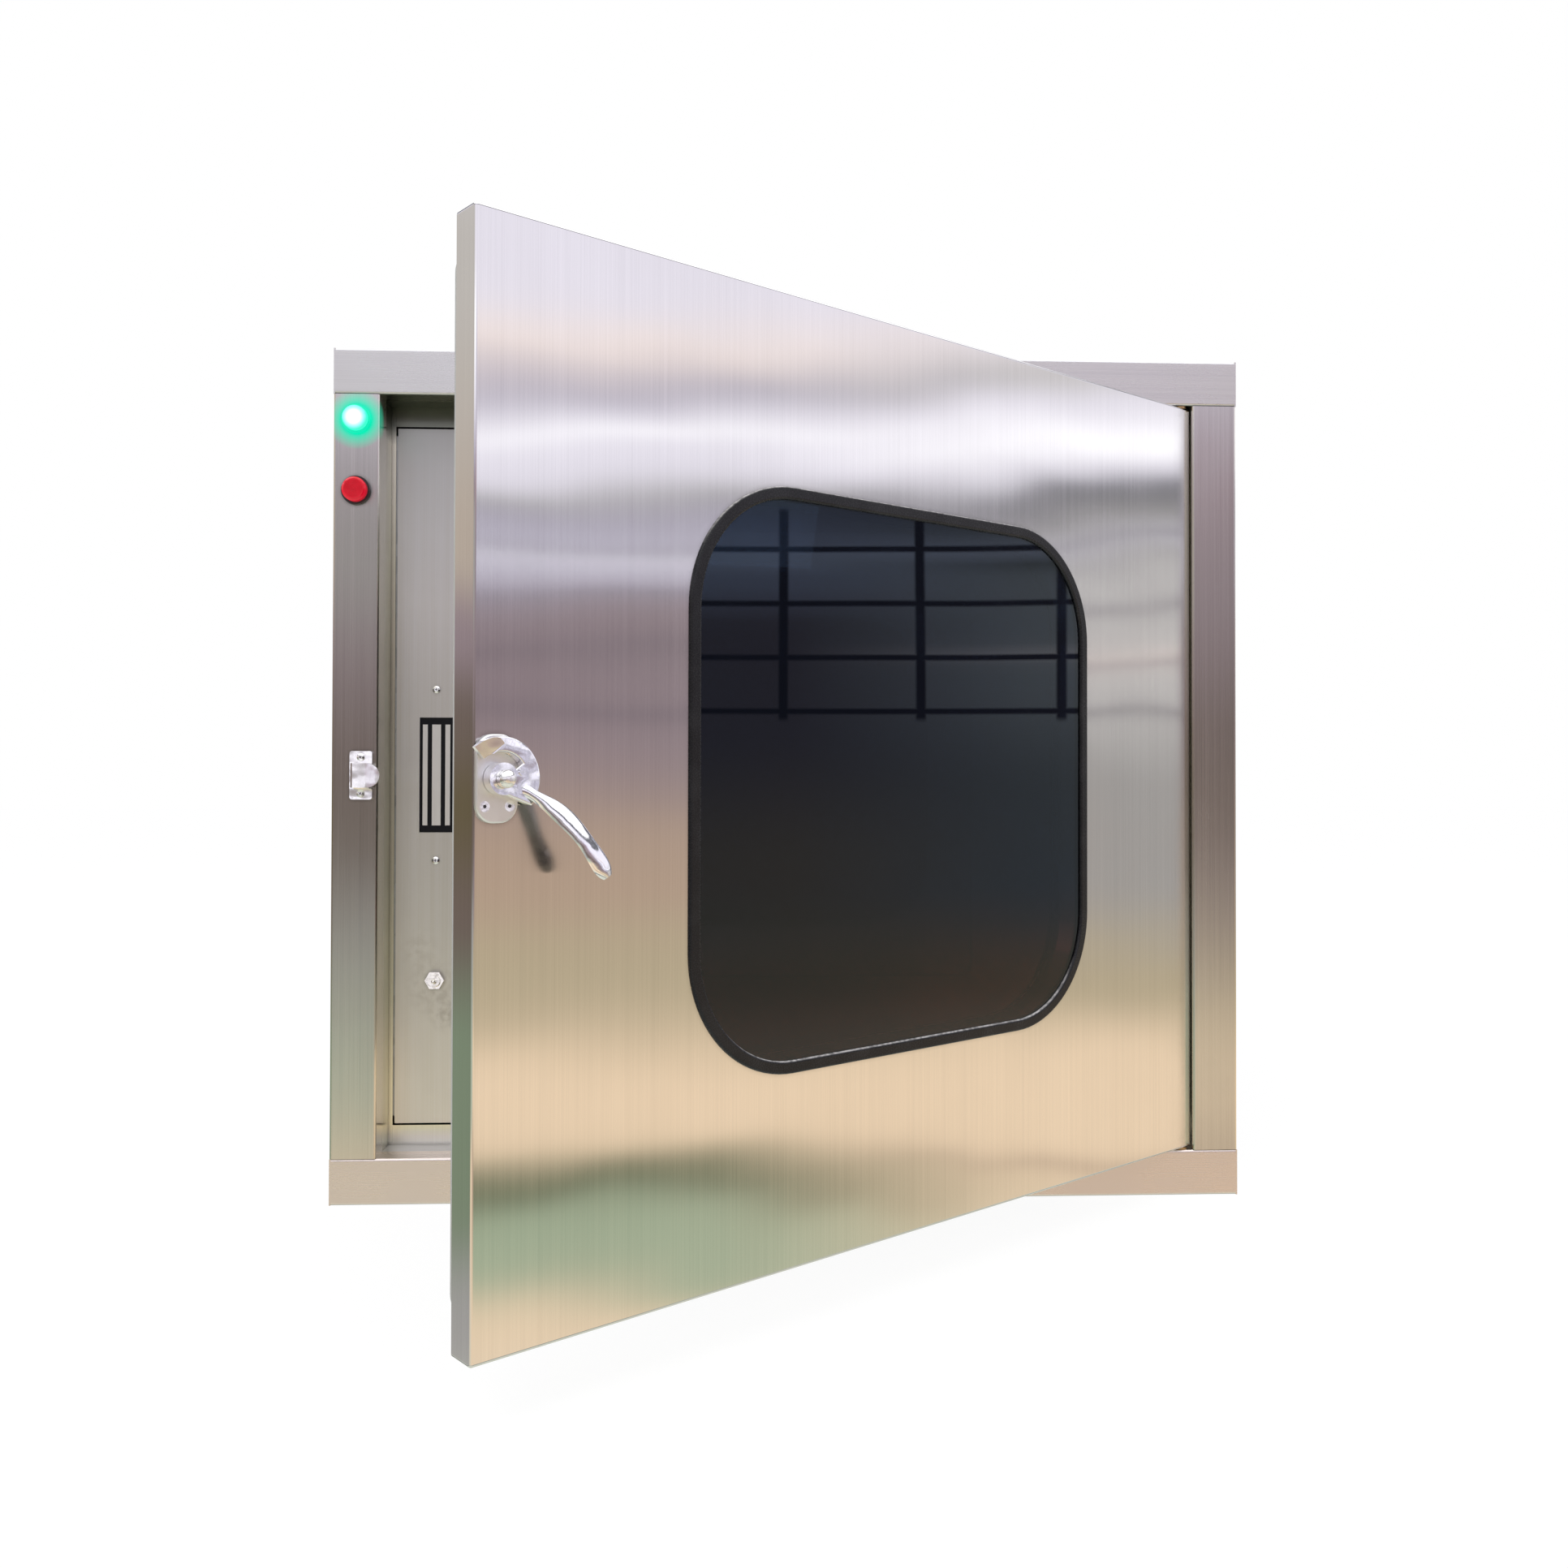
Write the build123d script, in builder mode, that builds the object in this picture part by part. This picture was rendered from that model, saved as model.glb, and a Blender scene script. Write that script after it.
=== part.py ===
"""Static cleanroom pass box: a stainless chamber with a hinged, glazed door at each end.

Frame: origin at the centre of the flat base, X across the opening, Y through the chamber
(the front door is at -Y), Z up. Every piece of an end is drawn on that end's face plane,
whose x runs to the viewer's right, y runs up from mid-height and z points at the viewer.
Both ends are alike: the rear face is the front face turned half a turn about Z.
"""

import os
from math import cos, radians, sin

from build123d import *

# ---- Chamber, frame and casing (mm) ------------------------------------------------------
CHAMBER_HEIGHT = 600
CHAMBER_DEPTH = 600
COVE_RADIUS = 15             # cove profiles in the long corners, for wiping clean
COVE_EDGE = 0.5              # thickness of a cove profile at its edges
FRAME_WIDTH = 912
FRAME_HEIGHT = 850
FRAME_BORDER = 45.5          # face width of rails and stiles
FRAME_RETURN = 27            # depth of the fold into the door opening
CASING_RETURN = 30           # depth of the fold along the outside of the body
REBATE_DEPTH = 52            # from the frame's face to the seat of the door seal
SHEET = 1.5                  # stainless sheet
BEND = 2.5                   # outside radius of the folds
WELD_GAP = 0.1               # fit-up gap between the sheets of a weldment
REBATE_LIP = 20              # seat of the rebate liner above and below the chamber
REBATE_SIDE_LIP = 4.5        # seat of the rebate liner at the sides
CHAMBER_FLANGE = 21          # seat beside the chamber, as far as the lock cover's gap
PANEL_GAP = 2                # shadow gap round the lock cover

# ---- Fasteners ---------------------------------------------------------------------------
SMALL_SCREW = 4
SMALL_SCREW_LENGTH = 12
FLUSH_HEAD = 1.8             # countersunk head over shank
DOMED_HEAD = 1.9             # domed head over shank

# ---- Doors -------------------------------------------------------------------------------
DOOR_SIDE_GAP = 3
DOOR_END_GAP = 2.5
SLAB = 25                    # thickness of the outer pan
INNER_PAN = 15               # depth of the tray behind the slab
INNER_PAN_INSET = 9.5        # from the slab's edge to the tray
PAN_LIP = 30                 # fold of the outer pan behind the slab
TRAY_CORNER = 6              # outside corner radius of the inner tray
SEAL_WIDTH = 14
SEAL_INSET = 2               # from the tray's edge to the seal
SEAL_CLEARANCE = 0.3         # free gap of the seal to its seat, door shut
PIVOT_INSET = 7.5            # pin axis from the hinge edge
PIVOT_DEPTH = 7.5            # pin axis behind the door's outer face
PIN_DIAMETER = 6
PIN_REACH = 8                # pin beyond the opening's edge, into the bush
PIN_BLOCK = 30               # length of the block that holds the pin inside the pan
RUNNING_CLEARANCE = 0.05     # radial, in every bearing
BUSH_WALL = 1.8
BUSH_FLANGE = 1.5            # width of the bush's flange beyond its barrel
BUSH_RUNNING_GAP = 0.3       # bush flange to the door's end
FRONT_OPEN_ANGLE = 38        # front door stands ajar, rear door is shut

# ---- Door window -------------------------------------------------------------------------
WINDOW_WIDTH = 467           # over the rubber gasket
WINDOW_HEIGHT = 452
WINDOW_CORNER = 100
GASKET_OVERLAP = 5           # gasket lip over the sheet
GASKET_BITE = 5              # gasket lip over the glass, from the cut-out's edge
GASKET_WEB = 3               # rubber between the cut-out and the glass
GASKET_PROUD = 2.5
GASKET_BACK = 2              # thickness of the lip behind the glass
GASKET_ROUNDING = 0.8        # rounding of the outer lip, over its height
GLASS = 5

# ---- Cam handle and strike ---------------------------------------------------------------
HUB_FROM_EDGE = 16.5         # handle stud from the door's free edge
HUB_RISE = 2                 # handle stud above mid-height
BASE_WIDTH = 31
BASE_HEIGHT = 58
BASE_THICK = 3
BASE_BEVEL = 1
BASE_SCREW_X = 18.2
BASE_SCREW_Y = 36
BASE_CORNER = 13
STUD_DIAMETER = 8
HANDLE_PLAY = 0.3            # axial play of the lever between base and cap nut
HUB_RADIUS = 10.5
HUB_THICK = 8.7
HOOK_RADIUS = 27.5
HOOK_INNER_RADIUS = 17.5
HOOK_THICK = 7.7
HOOK_TIP_ANGLE = 132         # hook runs from the grip round the top to this angle
HOOK_SLOT_ANGLE = 35         # closed end of the slot between hook and hub
HOOK_ROUNDING = 1.2          # cast rounding of the hook's upper edges
HOOK_RAMP = 16               # length of the wedge at the hook's tip
HOOK_TIP_THICK = 3.5
CUT_OVERSHOOT = 1            # how far a cut runs past the piece
GRIP_ANGLE = -40             # direction in which the grip leaves the hub
HUB_WEB_ANGLE = 280          # where the web under the grip leaves the hub
BOSS_DIAMETER = 5            # small boss cast on the web, beside the hub
BOSS_PROUD = 0.8
BOSS_RADIUS = 14.5
BOSS_ANGLE = 18
GRIP_RIDGE = 0.6             # share of the grip's thickness above its widest line
GRIP_STATIONS = (            # x, y, height, width and thickness down the grip, from the hub
    (14, -6, 8, 14, 7),
    (32.6, -19.5, 19, 12, 7),
    (47.6, -39, 31, 12, 6.5),
    (56, -53, 35, 13.5, 6.5),
    (61, -61, 36, 12, 5.5),
    (63.5, -65, 36.5, 7, 3.5),
)
CAP_DIAMETER = 12
CAP_HEIGHT = 8.5
CAP_DOME = 0.85              # rounding of the cap nut, over its radius
STRIKE_WIDTH = 22
STRIKE_HEIGHT = 48
STRIKE_THICK = 3
STRIKE_EDGE = 5              # strike plate from the edge of the opening
STRIKE_POST = 24             # height of the block that carries the nose
STRIKE_NOSE_REACH = 4.5      # nose over the opening, past its edge
STRIKE_NOSE_THICK = 5
STRIKE_CLEARANCE = 0.5       # latched hook to the nose and post
STRIKE_SCREW_SPACING = 36

# ---- Interlock fittings on the lock side -------------------------------------------------
COVER_WIDTH = 81
MAGLOCK_WIDTH = 34           # cut-out in the cover
MAGLOCK_HEIGHT = 118.5
MAGLOCK_CLEARANCE = 0.3
MAGLOCK_RECESS = 1           # magnet face behind the cover's face
CORE_LENGTH = 104
CORE_LEG = 5
CORE_MIDDLE = 9
CORE_PITCH = 11.5
CORE_DEPTH = 18
CORE_YOKE = 7
ARMATURE_MARGIN = 2          # armature smaller than the cut-out, each side
ARMATURE_CORNER = 2
ARMATURE_GAP = 0.3
CHANNEL_DEPTH = 26
CHANNEL_WEB = 57
CHANNEL_FLANGE = 18
CHANNEL_MARGIN = 7.5         # channel shorter than the cover, each end
COVER_SCREW_Y = 88
SWITCH_Y = -211
SWITCH_BARREL = 12
SWITCH_NUT = 17              # across flats
SWITCH_CASE = 19             # square case behind the cover
SWITCH_CASE_CORNER = 2
SWITCH_NUT_THICK = 5
SWITCH_BARREL_PROUD = 2
PLUNGER_DIAMETER = 4
PLUNGER_TRAVEL = 4
PLUNGER_GUIDE = 12           # length of plunger inside the barrel when out
PLUNGER_DOOR_GAP = 0.3
LAMP_DROP = 25.5             # green lamp below the top of the opening
LAMP_PITCH = 71              # red lamp below the green one
LAMP_HOLE = 22.3
LAMP_BARREL = 22
LAMP_BARREL_DEPTH = 24
LAMP_BEZEL = 28.5
LAMP_BEZEL_THICK = 3.5
LAMP_NUT = 29
LAMP_NUT_THICK = 4
LENS_DIAMETER = 24
LENS_HEIGHT = 8.5

# ---- Chamber lamp and plenum electrics ---------------------------------------------------
UV_FITTING_LENGTH = 330
UV_FITTING_WIDTH = 46
UV_FITTING_HEIGHT = 22
UV_TUBE_DIAMETER = 16
UV_TUBE_LENGTH = 288
UV_TUBE_DROP = 20            # tube axis below the fitting
UV_HOLDER = 10
HATCH_LENGTH = 300           # service hatch plate on top
HATCH_WIDTH = 200
HATCH_OVERLAP = 15
HATCH_SCREW_INSET = 7.5
SUPPLY_LENGTH = 160
SUPPLY_WIDTH = 98
SUPPLY_HEIGHT = 42
SUPPLY_X = -120
BOARD_LENGTH = 140
BOARD_WIDTH = 90
BOARD_THICK = 1.6
BOARD_X = 110
BOARD_STANDOFF = 8
STANDOFF_DIAMETER = 6
RELAY_LENGTH = 16
RELAY_WIDTH = 20
RELAY_HEIGHT = 15
GLAND_HEX = 24
GLAND_HEX_THICK = 5
GLAND_THREAD = 16
GLAND_TAIL = 12
GLAND_BORE = 10
GLAND_HEIGHT = 22
GLAND_X = 300
GLAND_Y = 200

# ---- Derived places ----------------------------------------------------------------------
BODY_DEPTH = CHAMBER_DEPTH + 2 * REBATE_DEPTH
OPENING_X = FRAME_WIDTH / 2 - FRAME_BORDER
OPENING_Y = FRAME_HEIGHT / 2 - FRAME_BORDER
LAMP_Y = (OPENING_Y - LAMP_DROP, OPENING_Y - LAMP_DROP - LAMP_PITCH)    # green, red
DOOR_X = OPENING_X - DOOR_SIDE_GAP
DOOR_Y = OPENING_Y - DOOR_END_GAP
TRAY_X = DOOR_X - INNER_PAN_INSET
TRAY_Y = DOOR_Y - INNER_PAN_INSET
TRAY_DEPTH = SLAB + INNER_PAN
PIVOT_X = DOOR_X - PIVOT_INSET
SEAT = -REBATE_DEPTH                          # z of the seal's seat on a face plane
SEAT_BACK = SEAT - SHEET
LOCK_EDGE = REBATE_SIDE_LIP + PANEL_GAP       # opening edge to the lock cover
COVER_X = -(OPENING_X - LOCK_EDGE - COVER_WIDTH / 2)
COVER_Y = OPENING_Y - REBATE_LIP - PANEL_GAP
FLANGE_X = COVER_X + COVER_WIDTH / 2 + PANEL_GAP
CHAMBER_WIDTH = -2 * (FLANGE_X + CHAMBER_FLANGE)
CHANNEL_HEIGHT = 2 * (COVER_Y - CHANNEL_MARGIN)
CHANNEL_BACK = SEAT_BACK - CHANNEL_DEPTH
HUB_X = -DOOR_X + HUB_FROM_EDGE
LEVER_LOW = BASE_THICK + HANDLE_PLAY
HUB_TOP = LEVER_LOW + HUB_THICK
HOOK_TOP = LEVER_LOW + HOOK_THICK
STRIKE_X = -(OPENING_X + STRIKE_EDGE + STRIKE_WIDTH / 2)
STILE_X = -(OPENING_X + FRAME_BORDER / 2)
MAGNET_FACE = SEAT - MAGLOCK_RECESS
NOSE_LOW = HOOK_TOP + STRIKE_CLEARANCE
BUSH_DIAMETER = PIN_DIAMETER + 2 * BUSH_WALL
CUT_X = WINDOW_WIDTH / 2 - GASKET_OVERLAP     # half sizes of the window hole in both pans
CUT_Y = WINDOW_HEIGHT / 2 - GASKET_OVERLAP
CUT_CORNER = WINDOW_CORNER - GASKET_OVERLAP

FRONT = Plane(origin=(0, -BODY_DEPTH / 2, FRAME_HEIGHT / 2), x_dir=(1, 0, 0), z_dir=(0, -1, 0))
REAR = Plane(origin=(0, BODY_DEPTH / 2, FRAME_HEIGHT / 2), x_dir=(-1, 0, 0), z_dir=(0, 1, 0))
ENDS = {"front": FRONT, "rear": REAR}

os.makedirs("parts", exist_ok=True)


def save(piece, label):
    """Name a finished piece and write it as its own STEP file."""
    piece.label = label
    export_step(piece, f"parts/{label}.step")


def shifted(plane, x, y, z=0):
    """The same plane with its origin moved to a local point."""
    return Plane(origin=plane.from_local_coords(Vector(x, y, z)), x_dir=plane.x_dir, z_dir=plane.z_dir)


def swung(face, angle):
    """A face plane turned about the door's pivot pins by the opening angle."""
    pivot = Pos(face.from_local_coords(Vector(PIVOT_X, 0, -PIVOT_DEPTH)))
    return Plane(pivot * Rot(0, 0, angle) * pivot.inverse() * face.location)


def across(face):
    """Section plane of a stile: x as on the face, y is depth."""
    return Plane(origin=face.origin, x_dir=face.x_dir, z_dir=face.y_dir)


def upright(face):
    """Section plane of a rail: x runs up the face, y is depth."""
    return Plane(origin=face.origin, x_dir=face.y_dir, z_dir=-face.x_dir)


def slab(plane, x_range, y_range, z_range, mode=Mode.ADD):
    """Rectangular plate between local limits, added to the part in hand."""
    with BuildSketch(plane.offset(z_range[0])) as outline:
        with Locations((sum(x_range) / 2, sum(y_range) / 2)):
            Rectangle(x_range[1] - x_range[0], y_range[1] - y_range[0])
    extrude(outline.sketch, amount=z_range[1] - z_range[0], mode=mode)


def rod(plane, x, y, diameter, z_range, mode=Mode.ADD):
    """Round bar or hole along the plane's normal."""
    with BuildSketch(plane.offset(z_range[0])) as outline:
        with Locations((x, y)):
            Circle(diameter / 2)
    extrude(outline.sketch, amount=z_range[1] - z_range[0], mode=mode)


def ring(plane, half_x, half_y, width, z_range, radius=0, mode=Mode.ADD):
    """Rectangular band of one width, with rounded corners where a radius is given."""
    with BuildSketch(plane.offset(z_range[0])) as outline:
        rounded(2 * half_x, 2 * half_y, radius)
        rounded(2 * (half_x - width), 2 * (half_y - width), radius - width, Mode.SUBTRACT)
    extrude(outline.sketch, amount=z_range[1] - z_range[0], mode=mode)


def rounded(width, height, radius, mode=Mode.ADD):
    """Rectangle with rounded corners, or sharp ones where no radius is left."""
    if radius > 0:
        RectangleRounded(width, height, radius, mode=mode)
    else:
        Rectangle(width, height, mode=mode)


def fold(section, points, length):
    """Sheet folded along a polyline whose points lie on its outside, extruded both ways."""
    turn = (points[1][0] - points[0][0]) * (points[2][1] - points[1][1])
    turn -= (points[1][1] - points[0][1]) * (points[2][0] - points[1][0])
    with BuildSketch(section) as profile:
        with BuildLine():
            FilletPolyline(*points, radius=BEND)
            offset(amount=SHEET, side=Side.LEFT if turn > 0 else Side.RIGHT)
        make_face()
    extrude(profile.sketch, amount=length / 2, both=True)


# ---- Frame: C-section rails and stiles -----------------------------------------------------

def frame_member(section, inner, outer, length):
    """Folded C-section: return into the opening, face, return along the casing."""
    fold(section, [(inner, FRAME_RETURN), (inner, 0), (outer, 0), (outer, CASING_RETURN)], length)


def make_rail(side, face, place, sign):
    """Rail over the full width, closed at its ends, with a hole for the door's pivot bush."""
    with BuildPart() as rail:
        frame_member(upright(face), sign * OPENING_Y, sign * FRAME_HEIGHT / 2, FRAME_WIDTH - 2 * SHEET)
        low, high = sorted((sign * OPENING_Y, sign * FRAME_HEIGHT / 2))
        for end in (-1, 1):
            edge, inside = end * FRAME_WIDTH / 2, end * (FRAME_WIDTH / 2 - SHEET)
            slab(face, sorted((edge, inside)), (low, high), (-CASING_RETURN, 0))
        # the fold into the opening stops at the stiles
        for end in (-1, 1):
            edge, inside = end * (FRAME_WIDTH / 2 - SHEET), end * (OPENING_X + SHEET)
            fold_edge = sorted((sign * OPENING_Y, sign * (OPENING_Y + SHEET)))
            slab(face, sorted((edge, inside)), fold_edge, (-FRAME_RETURN, -BEND), Mode.SUBTRACT)
        rod(pin_plane(face, sign), 0, 0, BUSH_DIAMETER, (-SHEET, 2 * SHEET), Mode.SUBTRACT)
    save(rail.part, f"{side}_frame_{place}_rail")


def make_stile(side, face, place, sign):
    """Stile between the rails; the lock-side one is drilled for lamps and strike screws."""
    with BuildPart() as stile:
        frame_member(across(face), sign * OPENING_X, sign * FRAME_WIDTH / 2, 2 * OPENING_Y)
        if sign < 0:
            for y in LAMP_Y:
                rod(face, STILE_X, y, LAMP_HOLE, (-2 * SHEET, SHEET), Mode.SUBTRACT)
            for y in (-STRIKE_SCREW_SPACING / 2, STRIKE_SCREW_SPACING / 2):
                rod(face, STRIKE_X, y, SMALL_SCREW, (-2 * SHEET, SHEET), Mode.SUBTRACT)
    save(stile.part, f"{side}_frame_{place}_stile")


def make_rebate_liner(side, face):
    """Four angle strips behind the frame: the back half of the rebate and the outer seal seat."""
    wall, lip = (SEAT_BACK, -FRAME_RETURN), (SEAT_BACK, SEAT)
    across_x, across_y = OPENING_X - WELD_GAP, OPENING_Y - WELD_GAP
    lip_x = OPENING_X - REBATE_SIDE_LIP
    with BuildPart() as liner:
        for sign in (-1, 1):
            beyond_x, beyond_y = sign * (OPENING_X + SHEET), sign * (OPENING_Y + SHEET)
            slab(face, (-across_x, across_x), sorted((sign * OPENING_Y, beyond_y)), wall)
            slab(face, (WELD_GAP - lip_x, lip_x - WELD_GAP),
                 sorted((sign * (OPENING_Y - REBATE_LIP), beyond_y)), lip)
            slab(face, sorted((sign * OPENING_X, beyond_x)), (-OPENING_Y - SHEET, OPENING_Y + SHEET), wall)
            slab(face, sorted((sign * lip_x, beyond_x)), (-across_y, across_y), lip)
    save(liner.part, f"{side}_rebate_liner")


# ---- Casing and chamber --------------------------------------------------------------------

def make_casing():
    """Four outer panels between the two frames."""
    base = Plane.XY
    half_depth = BODY_DEPTH / 2 - CASING_RETURN
    half_width = FRAME_WIDTH / 2
    for name, sign in (("left", -1), ("right", 1)):
        with BuildPart() as panel:
            x_range = sorted((sign * half_width, sign * (half_width - SHEET)))
            slab(base, x_range, (-half_depth, half_depth), (0, FRAME_HEIGHT))
        save(panel.part, f"casing_{name}_panel")
    inside = half_width - SHEET
    with BuildPart() as bottom:
        slab(base, (-inside, inside), (-half_depth, half_depth), (0, SHEET))
    save(bottom.part, "casing_base_panel")
    with BuildPart() as top:
        slab(base, (-inside, inside), (-half_depth, half_depth), (FRAME_HEIGHT - SHEET, FRAME_HEIGHT))
        hatch_x, hatch_y = HATCH_LENGTH / 2 - HATCH_OVERLAP, HATCH_WIDTH / 2 - HATCH_OVERLAP
        through = (FRAME_HEIGHT - 2 * SHEET, FRAME_HEIGHT + SHEET)
        slab(base, (-hatch_x, hatch_x), (-hatch_y, hatch_y), through, Mode.SUBTRACT)
        for spot in hatch_spots():
            rod(spot, 0, 0, SMALL_SCREW, (-2 * SHEET, 0), Mode.SUBTRACT)
        rod(base, GLAND_X, GLAND_Y, GLAND_THREAD, through, Mode.SUBTRACT)
    save(top.part, "casing_top_panel")


def make_chamber():
    """Welded liner: four wall sheets, cove profiles in the corners, seal-seat strips at the ends."""
    half_x, half_y = CHAMBER_WIDTH / 2, CHAMBER_HEIGHT / 2
    depth = (SEAT - CHAMBER_DEPTH, SEAT)
    cove_x, cove_y = half_x - WELD_GAP, half_y - WELD_GAP
    cove_side = COVE_RADIUS + COVE_EDGE
    flange = (FLANGE_X, OPENING_X - REBATE_SIDE_LIP - WELD_GAP)
    inner_x, inner_y = half_x + SHEET + WELD_GAP, half_y + SHEET + WELD_GAP
    outer_y = OPENING_Y - REBATE_LIP - WELD_GAP
    with BuildPart() as liner:
        for sign in (-1, 1):
            walls = sorted((sign * half_y, sign * (half_y + SHEET)))
            slab(FRONT, (-half_x - SHEET, half_x + SHEET), walls, depth)
            sides = sorted((sign * half_x, sign * (half_x + SHEET)))
            slab(FRONT, sides, (-cove_y, cove_y), depth)
        with BuildSketch(FRONT.offset(SEAT)):
            Rectangle(2 * cove_x, 2 * cove_y)
            Rectangle(2 * (cove_x - cove_side), 2 * cove_y, mode=Mode.SUBTRACT)
            Rectangle(2 * cove_x, 2 * (cove_y - cove_side), mode=Mode.SUBTRACT)
            with GridLocations(2 * (cove_x - cove_side), 2 * (cove_y - cove_side), 2, 2):
                Circle(COVE_RADIUS, mode=Mode.SUBTRACT)
        extrude(amount=-CHAMBER_DEPTH)
        for face in ENDS.values():
            for sign in (-1, 1):
                slab(face, flange, sorted((sign * inner_y, sign * outer_y)), (SEAT_BACK, SEAT))
            for x_range in ((flange[0], -inner_x), (inner_x, flange[1])):
                slab(face, x_range, (-half_y - SHEET, half_y + SHEET), (SEAT_BACK, SEAT))
    save(liner.part, "chamber_liner")


# ---- Lock side: channel, cover, magnet lock, door switch -------------------------------------

def make_lock_channel(side, face):
    """Hat-section channel behind the cover; it carries cover, magnet and switch."""
    web_low, web_high = COVER_X - CHANNEL_WEB / 2, COVER_X + CHANNEL_WEB / 2
    front, back = -SEAT_BACK, -CHANNEL_BACK
    with BuildPart() as channel:
        points = [(web_low - CHANNEL_FLANGE, front), (web_low, front), (web_low, back),
                  (web_high, back), (web_high, front), (web_high + CHANNEL_FLANGE, front)]
        with BuildSketch(across(face)):
            with BuildLine():
                Polyline(*points)
                offset(amount=SHEET, side=Side.LEFT, kind=Kind.INTERSECTION)
            make_face()
        extrude(amount=CHANNEL_HEIGHT / 2, both=True)
        for y in (-COVER_SCREW_Y, COVER_SCREW_Y):
            rod(face, COVER_X, y, SMALL_SCREW, (CHANNEL_BACK - 2 * SHEET, CHANNEL_BACK + SHEET),
                Mode.SUBTRACT)
    save(channel.part, f"{side}_lock_channel")


def make_lock_cover(side, face):
    """Cover plate with the magnet's cut-out, two screw holes and the switch hole."""
    with BuildPart() as cover:
        with BuildSketch(face.offset(SEAT_BACK)):
            with Locations((COVER_X, 0)):
                Rectangle(COVER_WIDTH, 2 * COVER_Y)
                Rectangle(MAGLOCK_WIDTH, MAGLOCK_HEIGHT, mode=Mode.SUBTRACT)
            with Locations((COVER_X, -COVER_SCREW_Y), (COVER_X, COVER_SCREW_Y)):
                Circle(SMALL_SCREW / 2, mode=Mode.SUBTRACT)
            with Locations((COVER_X, SWITCH_Y)):
                Circle(SWITCH_BARREL / 2, mode=Mode.SUBTRACT)
        extrude(amount=SHEET)
    save(cover.part, f"{side}_lock_cover")


def core_outline():
    """E-shaped core seen from its face: three bars."""
    with Locations((COVER_X - CORE_PITCH, 0), (COVER_X + CORE_PITCH, 0)):
        Rectangle(CORE_LEG, CORE_LENGTH)
    with Locations((COVER_X, 0)):
        Rectangle(CORE_MIDDLE, CORE_LENGTH)


def make_maglock(side, face):
    """Magnet lock: potted housing round an E-shaped core."""
    half_x = MAGLOCK_WIDTH / 2 - MAGLOCK_CLEARANCE
    half_y = MAGLOCK_HEIGHT / 2 - MAGLOCK_CLEARANCE
    core_half = CORE_PITCH + CORE_LEG / 2
    core_back = MAGNET_FACE - CORE_DEPTH
    core_x = (COVER_X - core_half, COVER_X + core_half)
    core_y = (-CORE_LENGTH / 2, CORE_LENGTH / 2)
    with BuildPart() as core:
        slab(face, core_x, core_y, (core_back, core_back + CORE_YOKE))
        with BuildSketch(face.offset(core_back)):
            core_outline()
        extrude(amount=CORE_DEPTH)
    save(core.part, f"{side}_maglock_core")
    with BuildPart() as housing:
        slab(face, (COVER_X - half_x, COVER_X + half_x), (-half_y, half_y),
             (CHANNEL_BACK, MAGNET_FACE - MAGLOCK_CLEARANCE))
        slab(face, core_x, core_y, (core_back, core_back + CORE_YOKE), Mode.SUBTRACT)
        with BuildSketch(face.offset(core_back)):
            core_outline()
        extrude(amount=CORE_DEPTH, mode=Mode.SUBTRACT)
    save(housing.part, f"{side}_maglock_housing")


def make_switch(side, face):
    """Door switch: threaded barrel with hex nut and a sprung plunger."""
    barrel_top = SEAT + SWITCH_NUT_THICK + SWITCH_BARREL_PROUD
    tip = -TRAY_DEPTH - PLUNGER_DOOR_GAP
    bore = PLUNGER_DIAMETER + 2 * RUNNING_CLEARANCE
    bore_floor = barrel_top - PLUNGER_GUIDE - PLUNGER_TRAVEL
    with BuildPart() as body:
        rod(face, COVER_X, SWITCH_Y, SWITCH_BARREL, (CHANNEL_BACK, barrel_top))
        with BuildSketch(face.offset(SEAT)):
            with Locations((COVER_X, SWITCH_Y)):
                RegularPolygon(SWITCH_NUT / 2, 6, major_radius=False)
        extrude(amount=SWITCH_NUT_THICK)
        with BuildSketch(face.offset(CHANNEL_BACK)):
            with Locations((COVER_X, SWITCH_Y)):
                RectangleRounded(SWITCH_CASE, SWITCH_CASE, SWITCH_CASE_CORNER)
        extrude(amount=CHANNEL_DEPTH)
        rod(face, COVER_X, SWITCH_Y, bore, (bore_floor, barrel_top), Mode.SUBTRACT)
    save(body.part, f"{side}_switch_body")
    with BuildPart() as plunger:
        rod(face, COVER_X, SWITCH_Y, PLUNGER_DIAMETER, (barrel_top - PLUNGER_GUIDE, tip))
        tip_edge = plunger.faces().sort_by(Axis(face.origin, face.z_dir))[-1].edges()
        fillet(tip_edge, PLUNGER_DIAMETER / 3)
    save(plunger.part, f"{side}_switch_plunger")


# ---- Screws ----------------------------------------------------------------------------------

def turned(section, points, mode=Mode.ADD):
    """Solid turned about the section's y axis (depth) from a closed half outline."""
    with BuildSketch(section) as half:
        with BuildLine():
            Polyline(*points, close=True)
        make_face()
    revolve(half.sketch, axis=Axis(section.origin, section.y_dir), mode=mode)


def flush_screw(place, diameter, length, mode=Mode.ADD):
    """Countersunk screw, or its hole, with its head level with the plane."""
    radius = diameter / 2
    head = radius * FLUSH_HEAD
    points = [(0, 0), (head, 0), (radius, head - radius), (radius, length), (0, length)]
    turned(across(place), points, mode)


def domed_screw(place, diameter, length):
    """Screw whose low domed head stands on the plane."""
    radius = diameter / 2
    head, high = radius * DOMED_HEAD, radius
    points = [(0, -high), (radius, -high), (head, -high / 2), (head, 0), (radius, 0),
              (radius, length), (0, length)]
    turned(across(place), points)


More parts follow.
